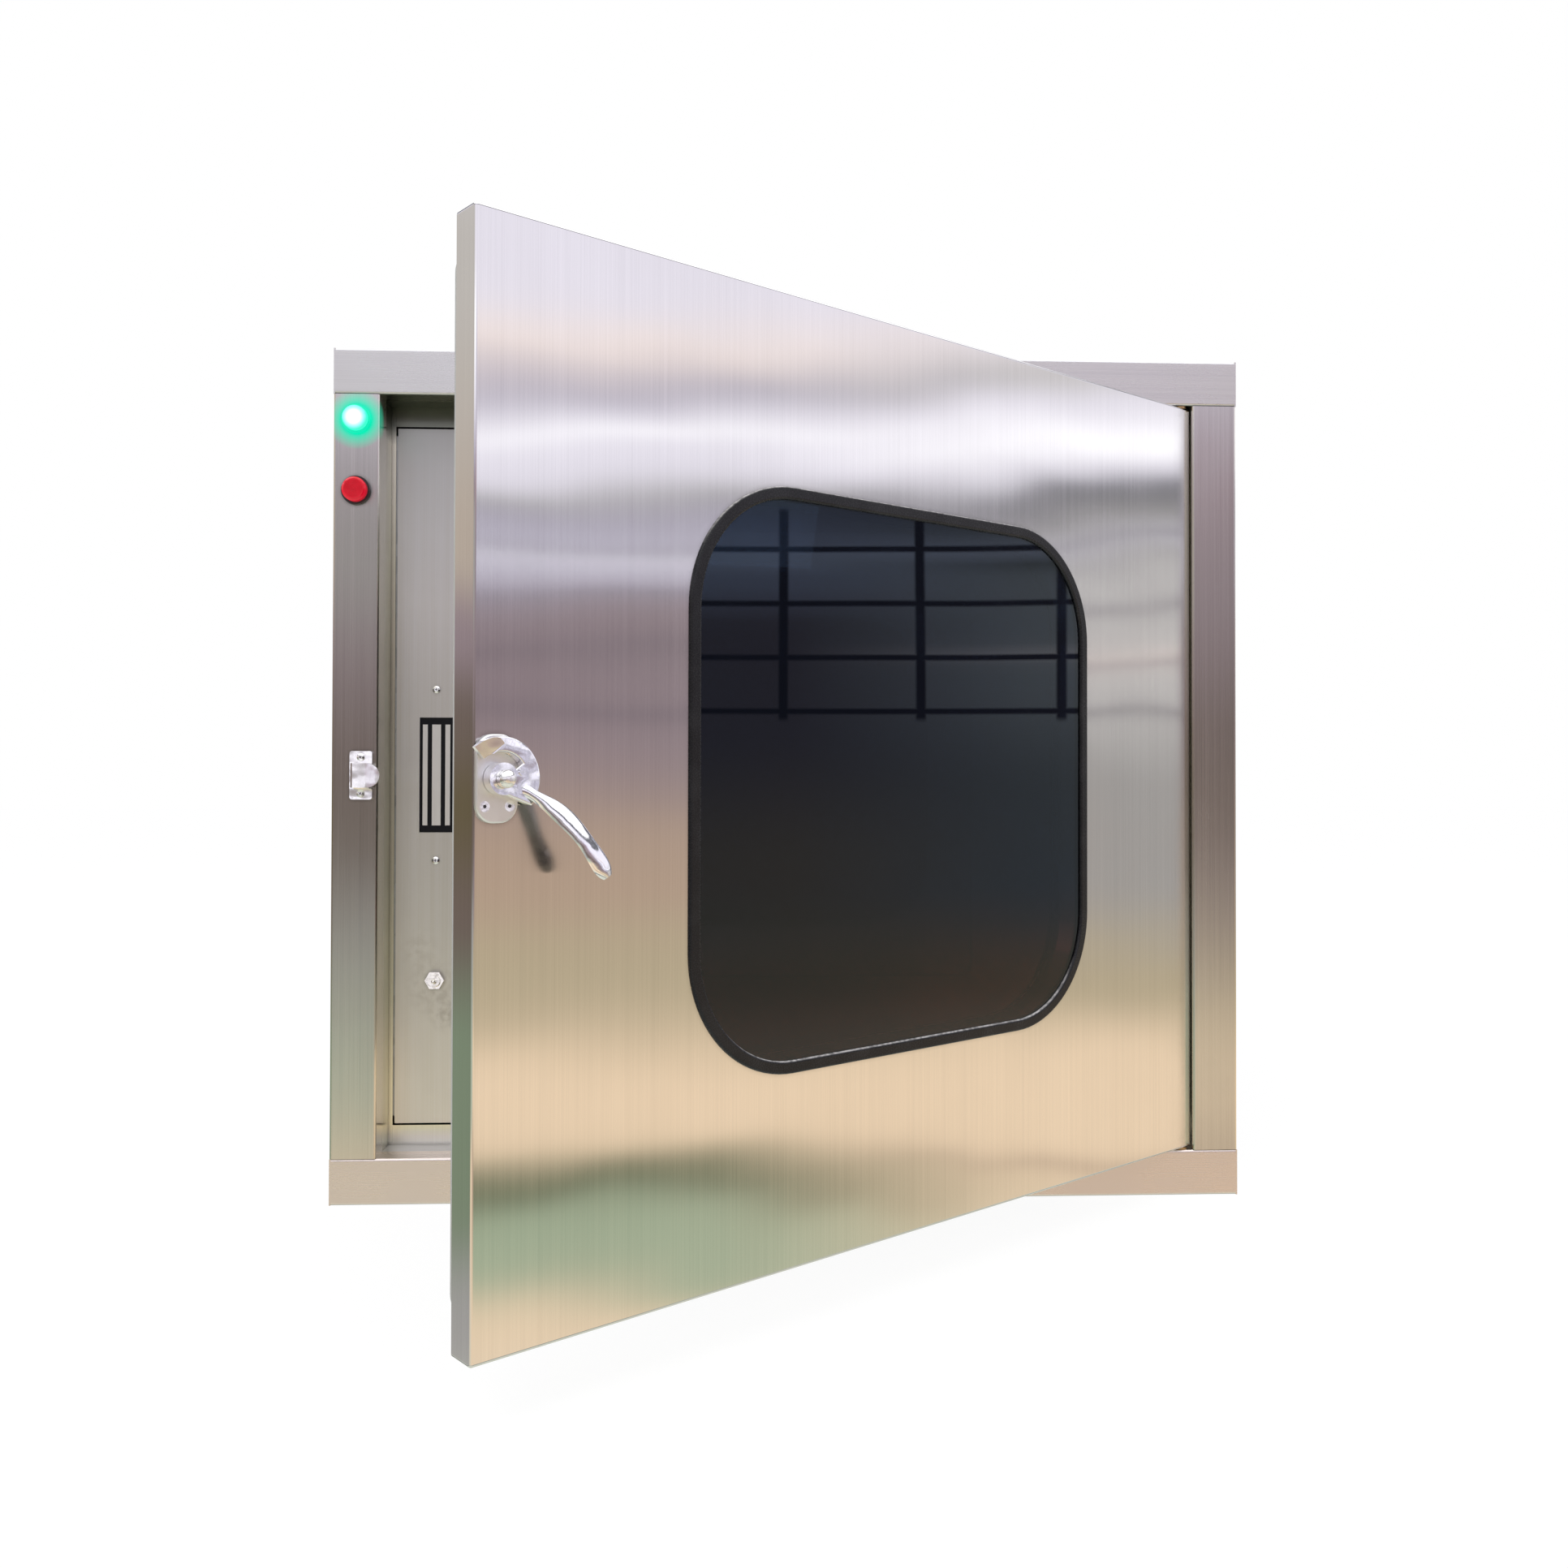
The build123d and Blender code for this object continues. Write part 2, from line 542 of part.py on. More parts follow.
def spots(plane, x, y, x_gap, y_gap):
    """Planes at the corners of a rectangle, or in a line where a gap is zero."""
    for i in sorted({-x_gap / 2, x_gap / 2}):
        for j in sorted({-y_gap / 2, y_gap / 2}):
            yield shifted(plane, x + i, y + j)


# ---- Lamps, strikes and pivot bushes on the frame ----------------------------------------------

def make_lamps():
    """Pilot lamps of both ends: bodies with back nuts, then the lenses of each colour."""
    with BuildPart() as bodies:
        for face in ENDS.values():
            for y in LAMP_Y:
                rod(face, STILE_X, y, LAMP_BARREL, (-LAMP_BARREL_DEPTH, 0))
                rod(face, STILE_X, y, LAMP_BEZEL, (0, LAMP_BEZEL_THICK))
                rod(face, STILE_X, y, LAMP_NUT, (-SHEET - LAMP_NUT_THICK, -SHEET))
    save(bodies.part, "pilot_lamp_bodies")
    radius, step = LENS_DIAMETER / 2, LENS_HEIGHT / 4
    low, high = -LAMP_BEZEL_THICK, -LAMP_BEZEL_THICK - LENS_HEIGHT
    outline = [(0, low), (radius, low), (radius, high + step), (radius - step, high), (0, high)]
    for y, colour in zip(LAMP_Y, ("green", "red")):
        with BuildPart() as lenses:
            for face in ENDS.values():
                turned(across(shifted(face, STILE_X, y)), outline)
        save(lenses.part, f"{colour}_lamp_lenses")


def make_strike(side, face):
    """Strike plate with a post whose round nose overhangs the opening; the hook slides under it."""
    place = shifted(face, STRIKE_X, 0)
    left = -STRIKE_WIDTH / 2 + STRIKE_THICK
    reach = STRIKE_WIDTH / 2 + STRIKE_EDGE + STRIKE_NOSE_REACH
    post_edge = HUB_X - HOOK_RADIUS - STRIKE_CLEARANCE - STRIKE_X
    low, tip, top = -NOSE_LOW, -NOSE_LOW - STRIKE_THICK / 2, -NOSE_LOW - STRIKE_NOSE_THICK
    with BuildPart() as strike:
        with BuildSketch(across(place)):
            with BuildLine():
                Polyline((left, 0), (post_edge, 0), (post_edge, low), (reach, low), (reach, tip),
                         (post_edge, top), (left + STRIKE_THICK, top), (left, low), close=True)
            make_face()
        extrude(amount=STRIKE_POST / 2, both=True)
        with BuildSketch(place):
            with BuildLine():
                half = STRIKE_POST / 2
                Polyline((post_edge, half), (left, half), (left, -half), (post_edge, -half))
                ThreePointArc((post_edge, -half), (reach, 0), (post_edge, half))
            make_face()
        extrude(amount=-top, mode=Mode.INTERSECT)
        with BuildSketch(place):
            RectangleRounded(STRIKE_WIDTH, STRIKE_HEIGHT, BEND)
        extrude(amount=STRIKE_THICK)
        for spot in spots(place, 0, 0, 0, STRIKE_SCREW_SPACING):
            rod(spot, 0, 0, SMALL_SCREW, (0, STRIKE_THICK), Mode.SUBTRACT)
    save(strike.part, f"{side}_strike")


def make_panel_screws():
    """Domed screws of the strikes, the lock covers and the service hatch."""
    with BuildPart() as screws:
        for face in ENDS.values():
            for spot in spots(face.offset(STRIKE_THICK), STRIKE_X, 0, 0, STRIKE_SCREW_SPACING):
                domed_screw(spot, SMALL_SCREW, SMALL_SCREW_LENGTH)
            for spot in spots(face.offset(SEAT), COVER_X, 0, 0, 2 * COVER_SCREW_Y):
                domed_screw(spot, SMALL_SCREW, CHANNEL_DEPTH + 2 * SHEET)
        for spot in hatch_spots():
            domed_screw(spot, SMALL_SCREW, SMALL_SCREW_LENGTH)
    save(screws.part, "panel_screws")


def pin_plane(face, sign):
    """Plane at the edge of the opening on a pivot's axis, its normal pointing into the rail."""
    edge = face.from_local_coords(Vector(PIVOT_X, sign * OPENING_Y, -PIVOT_DEPTH))
    return Plane(origin=edge, x_dir=face.x_dir, z_dir=(0, 0, sign))


def make_pivot_bushes():
    """Flanged bushes in the rails; each door turns between its two."""
    with BuildPart() as bushes:
        for face in ENDS.values():
            for sign in (-1, 1):
                plane = pin_plane(face, sign)
                flange = BUSH_RUNNING_GAP - DOOR_END_GAP
                rod(plane, 0, 0, BUSH_DIAMETER, (flange, PIN_REACH + BUSH_WALL))
                rod(plane, 0, 0, BUSH_DIAMETER + 2 * BUSH_FLANGE, (flange, 0))
                bore = PIN_DIAMETER + 2 * RUNNING_CLEARANCE
                rod(plane, 0, 0, bore, (flange, PIN_REACH + BUSH_WALL), Mode.SUBTRACT)
    save(bushes.part, "pivot_bushes")


# ---- Door --------------------------------------------------------------------------------------

def make_outer_pan(side, door):
    """Folded outer skin: face, edges, a lip behind, the window hole and its fixing holes."""
    with BuildPart() as pan:
        with BuildSketch(door):
            Rectangle(2 * DOOR_X, 2 * DOOR_Y)
        extrude(amount=-SLAB)
        face_edges = pan.faces().sort_by(Axis(door.origin, door.z_dir))[-1].edges()
        depth_edges = pan.edges().filter_by(Axis(door.origin, door.z_dir))
        fillet(face_edges + depth_edges, BEND)
        with BuildSketch(door.offset(-SHEET)):
            Rectangle(2 * (DOOR_X - SHEET), 2 * (DOOR_Y - SHEET))
        extrude(amount=-(SLAB - 2 * SHEET), mode=Mode.SUBTRACT)
        with BuildSketch(door.offset(-SLAB)):
            Rectangle(2 * (DOOR_X - PAN_LIP), 2 * (DOOR_Y - PAN_LIP))
        extrude(amount=SHEET, mode=Mode.SUBTRACT)
        with BuildSketch(door.offset(-SHEET)):
            RectangleRounded(2 * CUT_X, 2 * CUT_Y, CUT_CORNER)
        extrude(amount=SHEET, mode=Mode.SUBTRACT)
        for sign in (-1, 1):
            rod(pin_plane(door, sign), 0, 0, PIN_DIAMETER, (-DOOR_END_GAP - 2 * SHEET, 0), Mode.SUBTRACT)
        for spot in spots(door, HUB_X, HUB_RISE, BASE_SCREW_X, BASE_SCREW_Y):
            rod(spot, 0, 0, SMALL_SCREW, (-2 * SHEET, SHEET), Mode.SUBTRACT)
    save(pan.part, f"{side}_door_outer_pan")


def make_inner_pan(side, door):
    """Tray behind the slab, with a reveal round the window that reaches the outer pan."""
    with BuildPart() as tray:
        with BuildSketch(door.offset(-TRAY_DEPTH)):
            RectangleRounded(2 * TRAY_X, 2 * TRAY_Y, TRAY_CORNER)
        extrude(amount=INNER_PAN)
        rim = tray.faces().sort_by(Axis(door.origin, door.z_dir))[0].edges()
        fillet(rim, BEND)
        with BuildSketch(door.offset(-TRAY_DEPTH + SHEET)):
            RectangleRounded(2 * (TRAY_X - SHEET), 2 * (TRAY_Y - SHEET), TRAY_CORNER - SHEET)
        extrude(amount=INNER_PAN - SHEET, mode=Mode.SUBTRACT)
        with BuildSketch(door.offset(-TRAY_DEPTH)):
            RectangleRounded(2 * CUT_X, 2 * CUT_Y, CUT_CORNER)
        extrude(amount=SHEET, mode=Mode.SUBTRACT)
        ring(door, CUT_X + SHEET, CUT_Y + SHEET, SHEET, (-TRAY_DEPTH + SHEET, -SHEET), CUT_CORNER + SHEET)
    save(tray.part, f"{side}_door_inner_pan")


def make_window(side, door):
    """Double glazing: a pane in a rubber gasket in each skin of the door."""
    inner = Plane(origin=door.offset(-TRAY_DEPTH).origin, x_dir=-door.x_dir, z_dir=-door.z_dir)
    with BuildPart() as gaskets:
        for skin in (door, inner):
            lip = GASKET_OVERLAP + GASKET_BITE
            ring(skin, WINDOW_WIDTH / 2, WINDOW_HEIGHT / 2, lip, (0, GASKET_PROUD), WINDOW_CORNER)
            ring(skin, CUT_X, CUT_Y, GASKET_WEB, (-GLASS, 0), CUT_CORNER)
            ring(skin, CUT_X, CUT_Y, GASKET_BITE, (-GLASS - GASKET_BACK, -GLASS), CUT_CORNER)
            lip_edges = gaskets.faces().sort_by(Axis(skin.origin, skin.z_dir))[-1].edges()
            fillet(lip_edges, GASKET_PROUD * GASKET_ROUNDING)
    save(gaskets.part, f"{side}_window_gaskets")
    with BuildPart() as panes:
        for skin in (door, inner):
            with BuildSketch(skin) as outline:
                rounded(2 * (CUT_X - GASKET_WEB), 2 * (CUT_Y - GASKET_WEB), CUT_CORNER - GASKET_WEB)
            extrude(outline.sketch, amount=-GLASS)
    save(panes.part, f"{side}_window_panes")


def make_seal(side, door):
    """Soft D-section seal round the tray, a hair off its seat when the door is shut."""
    with BuildPart() as seal:
        ring(door, TRAY_X - SEAL_INSET, TRAY_Y - SEAL_INSET, SEAL_WIDTH,
             (SEAT + SEAL_CLEARANCE, -TRAY_DEPTH), TRAY_CORNER + SEAL_WIDTH)
        crown = seal.faces().sort_by(Axis(door.origin, door.z_dir))[0].edges()
        fillet(crown, SEAL_WIDTH / 4)
    save(seal.part, f"{side}_door_seal")


def make_armature(side, door):
    """Steel plate on the tray that the magnet lock holds, with its centre bolt."""
    height = MAGNET_FACE + ARMATURE_GAP
    place = Plane(origin=shifted(door, COVER_X, 0, height).origin, x_dir=-door.x_dir, z_dir=-door.z_dir)
    thick = -TRAY_DEPTH - height
    with BuildPart() as plate:
        with BuildSketch(place):
            width, height = MAGLOCK_WIDTH - 2 * ARMATURE_MARGIN, MAGLOCK_HEIGHT - 2 * ARMATURE_MARGIN
            RectangleRounded(width, height, ARMATURE_CORNER)
        extrude(amount=-thick)
        with Locations(place):
            CounterBoreHole(SMALL_SCREW / 2, SMALL_SCREW, SMALL_SCREW, thick)
        rod(place, 0, 0, 2 * SMALL_SCREW, (-SMALL_SCREW, -SMALL_SCREW / 2))
        rod(place, 0, 0, SMALL_SCREW, (-thick, -SMALL_SCREW))
    save(plate.part, f"{side}_armature_plate")


def make_hinge_pins(side, door):
    """Pivot pins with the square blocks that seat in the slab's corners."""
    with BuildPart() as pins:
        for sign in (-1, 1):
            plane = pin_plane(door, sign)
            seat = -DOOR_END_GAP - SHEET
            half = PIVOT_INSET - SHEET
            slab(plane, (-half, half), (-half, half), (seat - PIN_BLOCK, seat))
            rod(plane, 0, 0, PIN_DIAMETER, (seat, PIN_REACH))
    save(pins.part, f"{side}_hinge_pins")


# ---- Cam handle --------------------------------------------------------------------------------

def make_handle_base(side, door):
    """Base plate with the stud on which the lever turns, its screws and the domed cap nut."""
    place = shifted(door, HUB_X, HUB_RISE)
    cap_low = HUB_TOP + HANDLE_PLAY
    stud_top = cap_low + CAP_HEIGHT / 2
    with BuildPart() as base:
        with BuildSketch(place):
            RectangleRounded(BASE_WIDTH, BASE_HEIGHT, BASE_CORNER)
        extrude(amount=BASE_THICK)
        chamfer(base.faces().sort_by(Axis(place.origin, place.z_dir))[-1].edges(), BASE_BEVEL)
        rod(place, 0, 0, STUD_DIAMETER, (BASE_THICK, stud_top))
        for spot in spots(place.offset(BASE_THICK), 0, 0, BASE_SCREW_X, BASE_SCREW_Y):
            flush_screw(spot, SMALL_SCREW, 2 * BASE_THICK, Mode.SUBTRACT)
    save(base.part, f"{side}_handle_base")
    with BuildPart() as fasteners:
        rod(place, 0, 0, CAP_DIAMETER, (cap_low, cap_low + CAP_HEIGHT))
        crown = fasteners.faces().sort_by(Axis(place.origin, place.z_dir))[-1].edges()
        fillet(crown, CAP_DIAMETER / 2 * CAP_DOME)
        rod(place, 0, 0, STUD_DIAMETER, (cap_low, stud_top), Mode.SUBTRACT)
        for spot in spots(place.offset(BASE_THICK), 0, 0, BASE_SCREW_X, BASE_SCREW_Y):
            flush_screw(spot, SMALL_SCREW, SMALL_SCREW_LENGTH)
    save(fasteners.part, f"{side}_handle_fasteners")


def polar(radius, angle):
    """Point at a radius and an angle in degrees."""
    return radius * cos(radians(angle)), radius * sin(radians(angle))


def make_lever(side, door):
    """Cam lever: a hub, a hook that wraps it and wedges under the strike, and a rising grip."""
    place = shifted(door, HUB_X, HUB_RISE)
    with BuildPart() as lever:
        # hook and web in one outline: outer arc, tip, inner arc, slot end, hub, back to the start
        with BuildSketch(place.offset(LEVER_LOW)):
            with BuildLine():
                CenterArc((0, 0), HOOK_RADIUS, GRIP_ANGLE, HOOK_TIP_ANGLE - GRIP_ANGLE)
                Line(polar(HOOK_RADIUS, HOOK_TIP_ANGLE), polar(HOOK_INNER_RADIUS, HOOK_TIP_ANGLE))
                CenterArc((0, 0), HOOK_INNER_RADIUS, HOOK_SLOT_ANGLE, HOOK_TIP_ANGLE - HOOK_SLOT_ANGLE)
                Line(polar(HOOK_INNER_RADIUS, HOOK_SLOT_ANGLE), polar(HUB_RADIUS, HOOK_SLOT_ANGLE))
                CenterArc((0, 0), HUB_RADIUS, HOOK_SLOT_ANGLE, HUB_WEB_ANGLE - HOOK_SLOT_ANGLE)
                Line(polar(HUB_RADIUS, HUB_WEB_ANGLE), polar(HOOK_RADIUS, GRIP_ANGLE))
            make_face()
        extrude(amount=HOOK_THICK)
        fillet(lever.faces().sort_by(Axis(place.origin, place.z_dir))[-1].edges(), HOOK_ROUNDING)
        # wedge ground on the hook's tip, so that it draws the door in as it slides home
        start = Vector(*polar(HOOK_INNER_RADIUS - CUT_OVERSHOOT, HOOK_TIP_ANGLE), HOOK_TOP)
        outward_x, outward_y = polar(1, HOOK_TIP_ANGLE)
        tip = Plane(origin=place.from_local_coords(start),
                    x_dir=place.y_dir * outward_x - place.x_dir * outward_y,
                    z_dir=place.x_dir * outward_x + place.y_dir * outward_y)
        drop = HOOK_THICK - HOOK_TIP_THICK
        with BuildSketch(tip):
            with BuildLine():
                Polyline((-HOOK_RAMP, 0), (HOOK_RAMP, -2 * drop), (HOOK_RAMP, CUT_OVERSHOOT),
                         (-HOOK_RAMP, CUT_OVERSHOOT), close=True)
            make_face()
        extrude(amount=HOOK_RADIUS - HOOK_INNER_RADIUS + 2 * CUT_OVERSHOOT, mode=Mode.SUBTRACT)
        rod(place, 0, 0, 2 * HUB_RADIUS, (LEVER_LOW, HUB_TOP))
        rod(place, *polar(BOSS_RADIUS, BOSS_ANGLE), BOSS_DIAMETER, (LEVER_LOW, HOOK_TOP + BOSS_PROUD))
        # grip: ridged sections along a rising, drooping curve
        grip_sections = []
        for index, (x, y, z, width, thick) in enumerate(GRIP_STATIONS):
            before = GRIP_STATIONS[max(index - 1, 0)]
            after = GRIP_STATIONS[min(index + 1, len(GRIP_STATIONS) - 1)]
            along = Vector(after[0] - before[0], after[1] - before[1], after[2] - before[2])
            origin = place.from_local_coords(Vector(x, y, z))
            heading = place.x_dir * along.X + place.y_dir * along.Y + place.z_dir * along.Z
            sideways = place.z_dir.cross(heading)
            with BuildSketch(Plane(origin=origin, x_dir=sideways, z_dir=heading)) as section:
                with BuildLine():
                    Polyline((-width / 2, 0), (0, -thick * GRIP_RIDGE), (width / 2, 0))
                    ThreePointArc((width / 2, 0), (0, thick * (1 - GRIP_RIDGE)), (-width / 2, 0))
                make_face()
            grip_sections.append(section.sketch)
        loft(grip_sections)
        bore = STUD_DIAMETER + 2 * RUNNING_CLEARANCE
        rod(place, 0, 0, bore, (LEVER_LOW, HUB_TOP), Mode.SUBTRACT)
    save(lever.part, f"{side}_handle_lever")


# ---- Chamber lamp and plenum electrics -----------------------------------------------------------

def make_uv_lamp():
    """Germicidal tube held under a fitting on the chamber's ceiling."""
    ceiling = (FRAME_HEIGHT + CHAMBER_HEIGHT) / 2
    half_x, half_y = UV_FITTING_LENGTH / 2, UV_FITTING_WIDTH / 2
    low = ceiling - UV_FITTING_HEIGHT
    axis_z = low - UV_TUBE_DROP
    tube = Plane(origin=(0, 0, axis_z), x_dir=(0, 1, 0), z_dir=(1, 0, 0))
    half = UV_TUBE_LENGTH / 2
    with BuildPart() as fitting:
        slab(Plane.XY, (-half_x, half_x), (-half_y, half_y), (low, ceiling))
        chamfer(fitting.faces().sort_by(Axis.Z)[0].edges(), UV_FITTING_HEIGHT / 4)
        for sign in (-1, 1):
            x_range = sorted((sign * half, sign * (half + UV_HOLDER)))
            slab(Plane.XY, x_range, (-UV_HOLDER, UV_HOLDER), (axis_z - UV_HOLDER, low))
    save(fitting.part, "uv_lamp_fitting")
    with BuildPart() as lamp:
        rod(tube, 0, 0, UV_TUBE_DIAMETER, (-half, half))
    save(lamp.part, "uv_lamp_tube")


def hatch_spots():
    """Planes of the hatch screws on the hatch's upper face."""
    plane = Plane.XY.offset(FRAME_HEIGHT + SHEET)
    inset = 2 * HATCH_SCREW_INSET
    return spots(plane, 0, 0, HATCH_LENGTH - inset, HATCH_WIDTH - inset)


def make_plenum():
    """Service hatch, power supply, interlock board and cable gland above the chamber."""
    with BuildPart() as hatch:
        with BuildSketch(Plane.XY.offset(FRAME_HEIGHT)):
            RectangleRounded(HATCH_LENGTH, HATCH_WIDTH, BEND)
        extrude(amount=SHEET)
        for spot in hatch_spots():
            rod(spot, 0, 0, SMALL_SCREW, (-2 * SHEET, SHEET), Mode.SUBTRACT)
    save(hatch.part, "service_hatch")
    roof = Plane.XY.offset((FRAME_HEIGHT + CHAMBER_HEIGHT) / 2 + SHEET)
    with BuildPart() as supply:
        slab(shifted(roof, SUPPLY_X, 0), (-SUPPLY_LENGTH / 2, SUPPLY_LENGTH / 2),
             (-SUPPLY_WIDTH / 2, SUPPLY_WIDTH / 2), (0, SUPPLY_HEIGHT))
        fillet(supply.edges().filter_by(Axis.X).group_by(Axis.Z)[-1], BEND)
    save(supply.part, "power_supply")
    with BuildPart() as board:
        place = shifted(roof, BOARD_X, 0)
        top = BOARD_STANDOFF + BOARD_THICK
        slab(place, (-BOARD_LENGTH / 2, BOARD_LENGTH / 2), (-BOARD_WIDTH / 2, BOARD_WIDTH / 2),
             (BOARD_STANDOFF, top))
        inset = 2 * STANDOFF_DIAMETER
        for spot in spots(place, 0, 0, BOARD_LENGTH - inset, BOARD_WIDTH - inset):
            rod(spot, 0, 0, STANDOFF_DIAMETER, (0, BOARD_STANDOFF))
        with BuildSketch(place.offset(top)):
            with GridLocations(2 * RELAY_LENGTH, 2 * RELAY_WIDTH, 3, 2):
                Rectangle(RELAY_LENGTH, RELAY_WIDTH)
        extrude(amount=RELAY_HEIGHT)
    save(board.part, "interlock_board")
    with BuildPart() as gland:
        place = shifted(Plane.XY.offset(FRAME_HEIGHT), GLAND_X, GLAND_Y)
        rod(place, 0, 0, GLAND_THREAD, (-GLAND_TAIL, 0))
        for z in (0, -SHEET - GLAND_HEX_THICK):
            with BuildSketch(place.offset(z)):
                RegularPolygon(GLAND_HEX / 2, 6, major_radius=False)
            extrude(amount=GLAND_HEX_THICK)
        rod(place, 0, 0, GLAND_HEX - SHEET, (GLAND_HEX_THICK, GLAND_HEIGHT))
        crown = gland.faces().sort_by(Axis.Z)[-1].edges()
        fillet(crown, BEND)
        rod(place, 0, 0, GLAND_BORE, (-GLAND_TAIL, GLAND_HEIGHT), Mode.SUBTRACT)
    save(gland.part, "cable_gland")


# ---- Assembly --------------------------------------------------------------------------------------

DOORS = {"front": swung(FRONT, FRONT_OPEN_ANGLE), "rear": REAR}

for end, end_face in ENDS.items():
    make_rail(end, end_face, "top", 1)
    make_rail(end, end_face, "bottom", -1)
    make_stile(end, end_face, "lock", -1)
    make_stile(end, end_face, "hinge", 1)
    make_rebate_liner(end, end_face)
    make_lock_channel(end, end_face)
    make_lock_cover(end, end_face)
    make_maglock(end, end_face)
    make_switch(end, end_face)
    make_strike(end, end_face)
make_casing()
make_chamber()
make_lamps()
make_panel_screws()
make_pivot_bushes()
make_uv_lamp()
make_plenum()
for end, door_face in DOORS.items():
    make_outer_pan(end, door_face)
    make_inner_pan(end, door_face)
    make_window(end, door_face)
    make_seal(end, door_face)
    make_armature(end, door_face)
    make_hinge_pins(end, door_face)
    make_handle_base(end, door_face)
    make_lever(end, door_face)
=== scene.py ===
"""Looks of the pass box: a finish for every piece, screw recesses, stage, light and camera."""

from math import atan2, cos, pi, radians, sin

import bmesh
import bpy
from mathutils import Matrix, Vector


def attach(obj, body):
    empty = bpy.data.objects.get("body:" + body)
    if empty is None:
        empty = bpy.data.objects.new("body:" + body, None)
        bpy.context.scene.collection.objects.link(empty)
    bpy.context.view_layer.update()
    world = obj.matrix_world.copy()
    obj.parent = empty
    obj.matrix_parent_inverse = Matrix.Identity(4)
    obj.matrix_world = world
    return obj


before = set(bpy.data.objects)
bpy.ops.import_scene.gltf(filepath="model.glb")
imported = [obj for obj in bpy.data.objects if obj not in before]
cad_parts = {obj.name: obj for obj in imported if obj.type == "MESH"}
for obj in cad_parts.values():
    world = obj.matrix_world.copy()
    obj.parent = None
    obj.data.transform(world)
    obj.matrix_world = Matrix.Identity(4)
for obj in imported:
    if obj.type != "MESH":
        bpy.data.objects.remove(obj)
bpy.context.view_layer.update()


# ---- Places on the part, in metres and in its own frame -------------------------------------
# The rear end repeats the front one turned half a turn about Z, so its X and Y change sign.

DOOR_TURN = radians(38)                                 # how far the front door rests open
PIVOT_X, PIVOT_Y = 0.400, -0.3445                       # its pivot axis
FACE_Y = -0.352                                         # face of the frame and of the shut door
LAMP_X, LAMP_TOP, LAMP_LOW = -0.43325, 0.779, 0.708     # axes of the green and the red lamp
HUB_X, HUB_Z, BASE_PLATE = -0.391, 0.427, 0.003         # handle's middle, and its plate's thickness
BASE_SCREW_X, BASE_SCREW_Z = 0.0091, 0.018              # its screws, off that middle
STRIKE_X, STRIKE_SCREW_Z, STRIKE_PLATE = -0.4265, 0.018, 0.003
COVER_X, COVER_SCREW_Z, COVER_DEPTH = -0.3635, 0.088, 0.052
LATCH_Z = 0.425                                         # middle of the strike and of the cover
HATCH_SCREW_X, HATCH_SCREW_Y, HATCH_TOP = 0.1425, 0.0925, 0.8515
SCREW_HEAD = 0.002
CORNERS = ((-1, -1), (1, -1), (-1, 1), (1, 1))

LAMP_GREEN = (0.0, 0.62, 0.36)
SMEAR = (0.42, 0.38, 0.34)
# Colour of the painted shade where pieces meet
SEAM_SHADE_TONE = (0.13, 0.12, 0.11)
# Colour of the painted shade on the backs of the handles
PAINTED_BACK_SHADE = (0.10, 0.09, 0.08)
# Colour of the painted shade on faces that look down
UNDERSIDE_SHADE_TONE = (0.07, 0.08, 0.06)


def toned(colour, factor):
    """A colour made lighter or darker, with no channel past 1."""
    return [min(1, channel * factor) for channel in colour]


# ---- Node helpers ---------------------------------------------------------------------------

class Nodes:
    """A node tree, with short calls for the nodes used here."""

    def __init__(self, tree):
        self.tree = tree
        tree.nodes.clear()

    def add(self, kind):
        """Add a node, named by the last part of its type."""
        return self.tree.nodes.new("ShaderNode" + kind)

    def put(self, socket, value):
        """Set a socket to a number or colour, or link it to another socket."""
        if isinstance(value, bpy.types.NodeSocket):
            self.tree.links.new(value, socket)
        elif hasattr(socket.default_value, "__len__") and not hasattr(value, "__len__"):
            socket.default_value = [value] * len(socket.default_value)
        elif hasattr(value, "__len__") and len(socket.default_value) == 4 and len(value) == 3:
            socket.default_value = (*value, 1)
        else:
            socket.default_value = value

    def math(self, operation, *values):
        node = self.add("Math")
        node.operation = operation
        for socket, value in zip(node.inputs, values):
            self.put(socket, value)
        return node.outputs[0]

    def weigh(self, start, *parts):
        """A start value plus each part's socket times its weight."""
        total = start
        for value, weight in parts:
            total = self.math("MULTIPLY_ADD", value, weight, total)
        return total

    def vector(self, operation, *values):
        node = self.add("VectorMath")
        node.operation = operation
        for socket, value in zip(node.inputs, values):
            self.put(socket, value)
        return node.outputs["Value" if operation in ("LENGTH", "DISTANCE", "DOT_PRODUCT") else "Vector"]

    def axes(self, vector):
        """The X, Y and Z sockets of a vector."""
        node = self.add("SeparateXYZ")
        self.put(node.inputs[0], vector)
        return node.outputs

    def spread(self, value, low, high, to_low=0.0, to_high=1.0):
        """Map a range to another range, clamped."""
        node = self.add("MapRange")
        for key, number in (("Value", value), ("From Min", low), ("From Max", high),
                            ("To Min", to_low), ("To Max", to_high)):
            self.put(node.inputs[key], number)
        return node.outputs[0]

    def mix(self, factor, a, b):
        """Mix two colours."""
        node = self.add("Mix")
        node.data_type = "RGBA"
        self.put(node.inputs[0], factor)
        self.put(node.inputs[6], a)
        self.put(node.inputs[7], b)
        return node.outputs[2]

    def mix_shaders(self, factor, a, b):
        node = self.add("MixShader")
        for socket, value in zip(node.inputs, (factor, a, b)):
            self.put(socket, value)
        return node.outputs[0]


